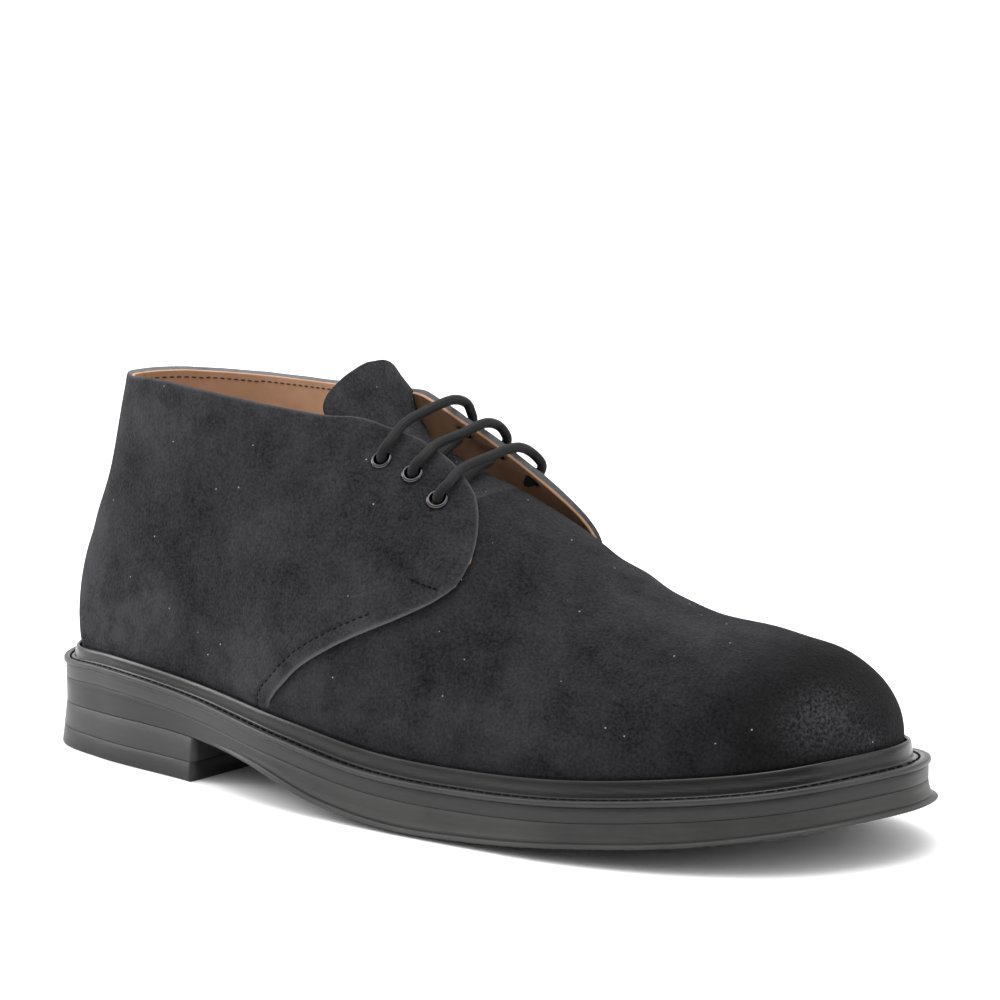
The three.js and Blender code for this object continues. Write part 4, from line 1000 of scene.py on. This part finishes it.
def heel_layer(name, low, high, material, count=24):
    """Rings of the outline behind the breast line, flared towards the ground, with flat ends. The breast has
    count cells across."""
    behind = RINGS[:, 0] <= HEEL_FRONT - 0.2
    gaps = np.linalg.norm(np.roll(RINGS[behind], 1, 0) - RINGS[behind], axis=1)
    rows = []
    for extra, share, more in HEEL_EDGE:
        level = low + ((SEAT_HEIGHT if callable(high) else high) - low) * share
        flare = SOLE_IN - FLARE * (1 - level / SEAT_HEIGHT) + extra
        flat = np.roll(inset(RINGS, flare)[behind], -np.argmax(gaps), 0)
        flat[:, 0] = np.minimum(flat[:, 0], HEEL_FRONT - extra)
        breast_y = np.linspace(flat[-1, 1], flat[0, 1], count + 1)[1:-1]
        edge = np.vstack([flat, np.c_[np.full(count - 1, HEEL_FRONT - extra), breast_y]])
        top = high(edge[:, 0]) if callable(high) else high
        rows.append(np.c_[edge, low + (top - low) * share + more + np.zeros(len(edge))])
    rings = np.stack(rows)
    n = rings.shape[1]
    lid = np.arange(n)[None, :]
    faces = [grid_quads(len(rows), n, wrap_cols=True), lid, lid[:, ::-1] + (len(rows) - 1) * n]
    return mesh_object(name, rings.reshape(-1, 3), faces, [material], [0, 0, 0])


lift_piece = heel_layer("heel_lift_block", TOP_PIECE + 0.1, lambda x: underside(x) - 0.08, heel_rubber)
top_piece = heel_layer("heel_top_piece_cap", 0.0, TOP_PIECE, sole_rubber)


def studs():
    """Places of the forepart studs: rows 26 mm apart, about 30 mm between studs, on the sole's underside."""
    places = []
    for x in np.arange(145, 276, 26.0):
        low, high = (np.interp(x, s[:, 0], s[:, 1]) + way for s, way in zip(sides(RINGS), (11, -11)))
        number = max(int(round((high - low) / 30)) + 1, 2)
        places += [(x, y) for y in np.linspace(low, high, number)]
    return np.array(places)


def disc_cluster(name, places, radius, material, around=24):
    """Low round studs with chamfered feet: one small lathe repeated at each place. A stud is 1 mm deep, or
    ends on the ground where the sole is less than 1.8 mm above it."""
    turn = np.linspace(0, 2 * np.pi, around, endpoint=False)
    profile = [(0.97, 0.4), (1.0, 0.0), (1.0, -0.75), (0.92, -1.0)]  # share of the radius, and of the depth
    one = np.stack([np.c_[r * radius * np.cos(turn), r * radius * np.sin(turn), np.full(around, h)]
                    for r, h in profile])
    under = underside(places[:, 0])
    scale = np.c_[np.ones((len(places), 2)), np.where(under - 1 < 0.8, under, 1.0)]
    points = one[None] * scale[:, None, None] + np.c_[places, under][:, None, None]
    lid, rows = np.arange(around)[None], len(profile)
    step = (np.arange(len(places)) * rows * around)[:, None, None]
    parts = [grid_quads(rows, around, wrap_cols=True), lid, lid[:, ::-1] + (rows - 1) * around]
    faces = [(part[None] + step).reshape(-1, part.shape[1]) for part in parts]
    return mesh_object(name, points.reshape(-1, 3), faces, [material], [0, 0, 0])


disc_cluster("forepart_studs", studs(), 5.0, sole_rubber)

# %% [markdown]
# ## The welt
#
# The welt is a strip of waxed leather round the edge of the sole. A moulded rib stands up against the upper
# and takes the light as one thin line, and a row of stitches lies in the groove between rib and edge. It is
# a profile carried round the outline: rounded outer edge, flat top, stitch groove and the rib.

# %% Welt
WELT_PATH = rim_outline(640)
ROUNDED = [(0.45, -1.78), (0.16, -1.6), (0.02, -1.25), (0.0, -0.9), (0.05, -0.5), (0.2, -0.18), (0.5, -0.02)]
GROOVE = [(0.15, -0.02), (0.35, -0.08), (0.5, -0.2), (0.6, -0.3), (0.7, -0.34), (0.8, -0.34), (0.9, -0.34),
          (1.0, -0.36)]
RIB = [(2.75, -0.35, 0), (2.5, -0.35, 0), (2.32, 0.1, 0), (2.2, 0, 0.35), (2.05, 0, 0.65), (1.85, 0, 0.86),
       (1.55, 0, 0.97), (1.2, 0, 1.0), (0.9, 0, 0.95), (0.7, 0, 0.82), (0.68, -1.78, 0)]


def on_top(share):
    """Inset at a share of the way over the flat top, from its rounded edge to 3.1 mm from the upper."""
    return lambda x: 0.5 + share * (welt_wide(x) - 3.6)


def over_rim(height, share=0.0):
    """Height above the rim, plus a share of the rib's height."""
    return lambda x: rim_top(x) + height + share * rib_high(x)


def beside_upper(gap):
    """Inset at a gap from the upper's foot."""
    return lambda x: welt_wide(x) - gap


def welt_profile():
    """Pairs of inset and height, as functions of x, from the lower outer edge over the groove and the rib."""
    return ([(edge, over_rim(height)) for edge, height in ROUNDED]
            + [(on_top(share), over_rim(height)) for share, height in GROOVE]
            + [(beside_upper(gap), over_rim(height, share)) for gap, height, share in RIB])


def moulding(name, pairs, outline, materials, edge):
    """A closed profile carried round a closed outline; the first edge strips take the second material."""
    rings = np.stack([ring(d, z, outline) for d, z in pairs])
    quads = grid_quads(len(pairs), len(outline), wrap_rows=True, wrap_cols=True)
    first = quads[:edge * len(outline)]
    rest = quads[edge * len(outline):]
    return mesh_object(name, rings.reshape(-1, 3), [rest[:, ::-1], first[:, ::-1]], materials, [0, 1])


# The first strips, the rounded outer edge, take the lighter grey: a painted highlight on the black welt.
welt_piece = moulding("welt_strip", welt_profile(), WELT_PATH, [welt_leather, welt_edge_highlight], 8)

# %% [markdown]
# ## Stitches
#
# A stitch is a short length of waxed thread that dips into the leather at both ends. A bevelled curve could
# be laid for each, but hundreds of them are lighter as one mesh: a small bead, repeated along a path and
# turned to lie flat on it.

# %% Stitches
def stitches(name, path, facing, pitch, length, width, material):
    """Beads of thread, eight sides and six rings each, set along the path at each pitch and turned to it.
    run and fat give the rings' places and radii: a bead that tapers to a quarter at its ends."""
    step = np.linalg.norm(np.diff(path, axis=0), axis=1)
    reach = np.concatenate([[0], np.cumsum(step)])
    s = np.arange(pitch / 2, reach[-1] - length / 2, pitch)
    at = lambda t, values: np.stack([np.interp(t, reach, values[:, k]) for k in range(3)], axis=1)
    middle, forward = at(s, path), at(s + 0.5, path) - at(s - 0.5, path)
    forward /= np.linalg.norm(forward, axis=1)[:, None]
    up = at(s, facing)
    up -= (up * forward).sum(axis=1)[:, None] * forward
    up /= np.linalg.norm(up, axis=1)[:, None]
    across = np.cross(up, forward)
    run = np.array([-0.5, -0.42, -0.2, 0.2, 0.42, 0.5]) * length
    fat = np.array([0.25, 0.75, 1.0, 1.0, 0.75, 0.25]) * width / 2
    around, rings = 8, len(run)
    turn = np.linspace(0, 2 * np.pi, around, endpoint=False)
    points = (middle[:, None, None] + forward[:, None, None] * run[None, :, None, None]
              + across[:, None, None] * (fat[:, None] * np.cos(turn))[None, :, :, None]
              + up[:, None, None] * (fat[:, None] * np.sin(turn) * 0.8)[None, :, :, None])
    lid = np.arange(around)[None]
    jump = (np.arange(len(s)) * rings * around)[:, None, None]
    parts = [grid_quads(rings, around, wrap_cols=True), lid[:, ::-1], lid + (rings - 1) * around]
    faces = [(part[None] + jump).reshape(-1, part.shape[1]) for part in parts]
    return mesh_object(name, points.reshape(-1, 3), faces, [material], [0, 0, 0])


welt_line = ring(on_top(0.74), over_rim(-0.3), WELT_PATH)
welt_line = np.vstack([welt_line, welt_line[:1]])
upwards = np.tile([0.0, 0.0, 1.0], (len(welt_line), 1))
stitches("welt_stitches", welt_line, upwards, 3.1, 2.3, 0.75, thread)


def row_line(grid, side, down, depth):
    """Path lying a given distance below the top line, at a depth under the skin."""
    _, to_top = ranges(grid)
    outward = normals(grid, side)
    share = np.argmax(to_top < down, axis=0)
    k = np.arange(grid.shape[1])
    return grid[share, k] - outward[share, k] * depth, -outward[share, k] * np.sign(depth)


LACING = 112  # x where the lining's row ends, behind the top eyelets
for side, grid, label in ((-1, outer_skin, "outer"), (1, inner_skin, "inner")):
    path, facing = row_line(grid, side, 3.0, WALL + 0.05)
    before = path[:, 0] < LACING
    stitches(f"lining_stitches_{label}", path[before][2:], facing[before][2:], 2.3, 1.5, 0.5, brown_thread)

front_gap, _ = ranges(outer_suede)
pick = np.argmax(front_gap < SEAM_AT, axis=1)
rows = np.arange(outer_suede.shape[0])
seam_path, seam_out = outer_suede[rows, pick], normals(outer_suede, -1)[rows, pick]
low = seam_path[:, 2] < 60
TACK = dict(x=[160.4, 165.9, 170.6], z=[69.6, 68.2, 67.4])  # the short bar of stitches at the facing's foot
tack_x = np.linspace(TACK["x"][0], TACK["x"][-1], 30)
tack_z = np.interp(tack_x, TACK["x"], TACK["z"])
flat = outer_suede.reshape(-1, 3)
off = np.hypot(flat[:, 0] - tack_x[:, None], flat[:, 2] - tack_z[:, None]) + 9 * (flat[:, 1] > -20)
tack_y = flat[np.argmin(off, axis=1), 1]
tack = np.c_[tack_x, np.convolve(np.pad(tack_y, 2, mode="edge"), np.full(5, 0.2), mode="valid"), tack_z]
facing = np.tile(seat(-1, TACK["x"][1], TACK["z"][1])[1], (len(tack), 1))
stitches("bar_tack_stitches", tack + facing * 0.2, facing, 2.0, 1.45, 0.6, thread)
stitches("front_seam_stitches", (seam_path + seam_out * 0.02)[low], seam_out[low], 2.4, 1.5, 0.5, thread)

# %% [markdown]
# ## Eyelets and lace
#
# Each eyelet is a rolled metal tube with a flange, so a lathe round its own normal makes it. The lace is one
# cord through all six, a tube along a smooth curve. It keeps within about 1.5 mm of the frame's lace, comes
# up through each eyelet from below on one side and goes down on the other, and has no free end.

# %% Eyelets
LIP = [(2.1, -2.3), (2.35, -2.3), (2.35, 0.05), (3.2, 0.05), (3.24, 0.2), (3.16, 0.45), (2.98, 0.68),
       (2.74, 0.82), (2.5, 0.86), (2.3, 0.8), (2.16, 0.62), (2.1, 0.3)]  # radius, and height on the suede


def beside_normal(way, rough):
    """Two directions square to a normal, the first as near as can be to the rough one."""
    first = rough - (rough @ way) * way
    first /= np.linalg.norm(first)
    return first, np.cross(way, first)


def eyelet(name, where, way, around=48):
    """Lathe of the rolled flange and the barrel round the normal."""
    turn = np.linspace(0, 2 * np.pi, around, endpoint=False)
    a, b = beside_normal(way, np.array([1.0, 0, 0]))
    circle = np.cos(turn)[:, None] * a + np.sin(turn)[:, None] * b
    points = np.stack([where + circle * r + way * h for r, h in LIP])
    quads = grid_quads(len(LIP), around, wrap_rows=True, wrap_cols=True)
    return mesh_object(name, points.reshape(-1, 3), [quads[:, ::-1]], [gunmetal], [0])


rings_of_metal = {name: eyelet(f"{name}_ring", where, way) for name, (where, way) in seats.items()}

# %% Lace
CORD, PLAIT = 1.48, 0.05  # radius, and the height of the plait's ribs on it
WINDING = 2.85  # radians that a thread turns for each mm of cord
THREADED = [(4.4, 2.6), (2.3, 2.75), (0.7, 2), (0, 0.2), (0, -1.6), (0.7, -3.5), (2.4, -4.35)]
BARS = [
    [[137.9, -9.8, 109.3], [139, 0, 112.2], [140.4, 10.4, 114.1], [141, 16.1, 111.8]],
    [[148.9, -9.2, 103.8], [150.4, 2, 106.1], [151.6, 11.4, 108.1], [152, 17.6, 105.9]],
    [[159.5, -11.2, 97.7], [160.6, 0.2, 100.1], [161.9, 13.6, 101.5], [162.4, 20.1, 98.4]]]
DIAGONALS = [[[147, -11, 96.6], [146.4, -4.6, 99.3], [144.6, 4, 102.2], [142.8, 9, 102.8]],
             [[157.5, -11.4, 91.2], [156.8, -5.5, 94.2], [155.2, 4, 96.8], [153.6, 10, 96.6]]]


def threaded(name):
    """The lace's points over and down through one eyelet, from its facing side."""
    where, way = seats[name]
    towards, _ = beside_normal(way, np.array([0.0, -EYELETS[name][0], 0.0]))
    return np.array([where + towards * a + way * h for a, h in THREADED])


def lace_route():
    """From the lowest bar to the highest: up the inner eyelet, across, down the outer one and up again."""
    parts = []
    for bar in (2, 1, 0):
        parts += [threaded(f"eyelet_inner_{bar + 1}")[::-1], np.array(BARS[bar])[::-1],
                  threaded(f"eyelet_outer_{bar + 1}")]
        if bar:
            parts.append(np.array(DIAGONALS[bar - 1]))
    return np.vstack(parts)


def through(points, step):
    """Centripetal Catmull-Rom curve: each span is the cubic set by its four neighbours' root distances."""
    p = np.vstack([2 * points[0] - points[1], points, 2 * points[-1] - points[-2]])
    t = np.concatenate([[0], np.cumsum(np.linalg.norm(np.diff(p, axis=0), axis=1) ** 0.5)])
    s = np.linspace(0, 1, 24, endpoint=False)[None, :, None]
    p0, p1, p2, p3 = (p[k:len(p) - 3 + k, None] for k in range(4))
    t0, t1, t2, t3 = (t[k:len(p) - 3 + k, None, None] for k in range(4))
    u = t1 + (t2 - t1) * s
    a1 = ((t1 - u) * p0 + (u - t0) * p1) / (t1 - t0)
    a2 = ((t2 - u) * p1 + (u - t1) * p2) / (t2 - t1)
    a3 = ((t3 - u) * p2 + (u - t2) * p3) / (t3 - t2)
    b1, b2 = ((t2 - u) * a1 + (u - t0) * a2) / (t2 - t0), ((t3 - u) * a2 + (u - t1) * a3) / (t3 - t1)
    dense = np.vstack([(((t2 - u) * b1 + (u - t1) * b2) / (t2 - t1)).reshape(-1, 3), points[-1:]])
    length = np.linalg.norm(np.diff(dense, axis=0), axis=1).sum()
    return by_length(dense, int(length / step)), length


def tube(name, path, radius, material, around=16):
    """Circles square to the path, with the plait's low ribs; run and turn give the cord its own map."""
    forward = np.gradient(path, axis=0)
    forward /= np.linalg.norm(forward, axis=1)[:, None]
    side = np.cross(forward, [1.0, 0.05, 0.1])
    side /= np.linalg.norm(side, axis=1)[:, None]
    up = np.cross(side, forward)
    turn = np.linspace(0, 2 * np.pi, around, endpoint=False)
    run = np.concatenate([[0], np.cumsum(np.linalg.norm(np.diff(path, axis=0), axis=1))])
    wound = run[:, None] * WINDING
    plait = np.sin(wound + turn * 2) * np.sin(wound - turn * 2)
    r = (radius + PLAIT * plait)[..., None]
    circle = np.cos(turn)[None, :, None] * side[:, None] + np.sin(turn)[None, :, None] * up[:, None]
    points = path[:, None] + r * circle
    quads = grid_quads(len(path), around, wrap_cols=True)
    lid = np.arange(around)[None]
    faces = [quads[:, ::-1], lid, lid[:, ::-1] + (len(path) - 1) * around]
    runs, turns = np.repeat(run, around), np.tile(turn, len(path))
    return mesh_object(name, points.reshape(-1, 3), faces, [material], [0, 0, 0], run=runs, turn=turns)


route, laced = through(lace_route(), 0.36)
REACH = 12  # points on each side: the cord is stiffer than the curve, so it is eased over about 2 mm
weights = np.exp(-(np.arange(-REACH, REACH + 1) / 5.0) ** 2)
padded = np.pad(route, ((REACH, REACH), (0, 0)), mode="edge")
route = sum(w * padded[k:k + len(route)] for k, w in enumerate(weights / weights.sum()))
lace_piece = tube("lace_cord", route, CORD, lace_cord)
print("laced length", round(laced, 1), "mm")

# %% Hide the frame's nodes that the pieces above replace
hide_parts("upper")
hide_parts("tongue")
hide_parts("insole")
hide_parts("midsole")
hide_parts("outsole")
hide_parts("heel_lift")
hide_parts("heel_top_piece")
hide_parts("welt")
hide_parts("lace")
for name, item in rings_of_metal.items():
    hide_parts(name)

# %% [markdown]
# ## Camera, floor and light
#
# The camera stands 1.2 m off, a little above and ahead of the outer side, with a long lens, so the shoe's
# lines stay nearly parallel. White light from all round, dimmer ahead of the toe, keeps the ground pale, and
# three large soft lamps shape the dark suede: one from the left, a weak one from the right and one overhead.

# %% Camera
LENS, SENSOR = 146.88, 36.0
CAMERA_AT = np.array([895.032, -907.017, 289.494])  # mm, in the shoe's own axes, as the next point is
LOOKS_AT = np.array([153.893, 14.318, 84.908])
ROLL = -0.3891  # degrees


def looking(where, at, roll=0.0):
    """Matrix in metres of a thing that looks from one place to another: its axes are right, up and back, and
    roll turns the first two about the third."""
    back = (where - at) / np.linalg.norm(where - at)
    level = np.cross([0, 0, 1.0], back)
    level /= np.linalg.norm(level)
    upright, r = np.cross(back, level), np.radians(roll)
    matrix = np.eye(4)
    matrix[:3, 0] = np.cos(r) * level + np.sin(r) * upright
    matrix[:3, 1] = np.cos(r) * upright - np.sin(r) * level
    matrix[:3, 2], matrix[:3, 3] = back, where
    return Matrix(matrix.tolist())


lens = bpy.data.cameras.new("camera")
lens.sensor_width, lens.lens = SENSOR, LENS
camera = bpy.data.objects.new("camera", lens)
bpy.context.scene.collection.objects.link(camera)
camera.matrix_world = looking(world(CAMERA_AT), world(LOOKS_AT), ROLL)
bpy.context.scene.camera = camera
print("camera at", np.round(world(CAMERA_AT), 3))

# %% Floor and lamps
floor_mesh = bpy.data.meshes.new("floor")
floor_mesh.from_pydata([(-6, -6, 0), (6, -6, 0), (6, 6, 0), (-6, 6, 0)], [], [(0, 1, 2, 3)])
floor_mesh.materials.append(finish("matt_white_floor", Base_Color=linear("#fbfbfb"), Roughness=0.9)[0])
floor = bpy.data.objects.new("floor", floor_mesh)
bpy.context.scene.collection.objects.link(floor)

AHEAD = (0.62, -0.78, 0.0)  # the way the toe's outer side faces, where the room is darker
world_light = bpy.data.worlds.new("studio")
world_light.use_nodes = True
sky = world_light.node_tree
way = add(sky, "ShaderNodeTexCoord").outputs["Generated"]
ahead = add(sky, "ShaderNodeVectorMath", {0: way, 1: AHEAD}, operation="DOT_PRODUCT")
shade = add(sky, RANGE, {"Value": ahead, "From Min": 0.1, "From Max": 0.85, "To Min": 1.0, "To Max": 0.32})
above = add(sky, "ShaderNodeSeparateXYZ", {"Vector": way}).outputs["Z"]
above = add(sky, MATHS, {0: above, 1: 0.0}, operation="MAXIMUM")
light = add(sky, MATHS, {0: above, 1: 0.75, 2: shade}, operation="MULTIPLY_ADD")
# The background is plain white to the camera, and dimmer or brighter than that to everything it lights.
seen = add(sky, "ShaderNodeLightPath").outputs["Is Camera Ray"]
background = sky.nodes["Background"]
feed(sky, background.inputs["Strength"], add(sky, MATHS, {0: seen, 1: light}, operation="MAXIMUM"))
background.inputs["Color"].default_value = (1, 1, 1, 1)
bpy.context.scene.world = world_light
bpy.context.scene.view_settings.view_transform = "Standard"
LIT = np.array([0, 0, 0.05])  # the lamps point at the middle of the shoe


def lamp(name, where, size, power):
    """A square soft lamp at a place in metres, facing the shoe."""
    data = bpy.data.lights.new(name, "AREA")
    data.size, data.energy = size, power
    item = bpy.data.objects.new(name, data)
    item.matrix_world = looking(np.array(where), LIT)
    bpy.context.scene.collection.objects.link(item)
    return item


lamp("lamp_left", (-1.4, -0.5, 0.7), 0.8, 12)
lamp("lamp_right", (1.5, 0.1, 0.6), 0.8, 2.5)
lamp("lamp_over", (0.1, 0.0, 1.7), 1.3, 16)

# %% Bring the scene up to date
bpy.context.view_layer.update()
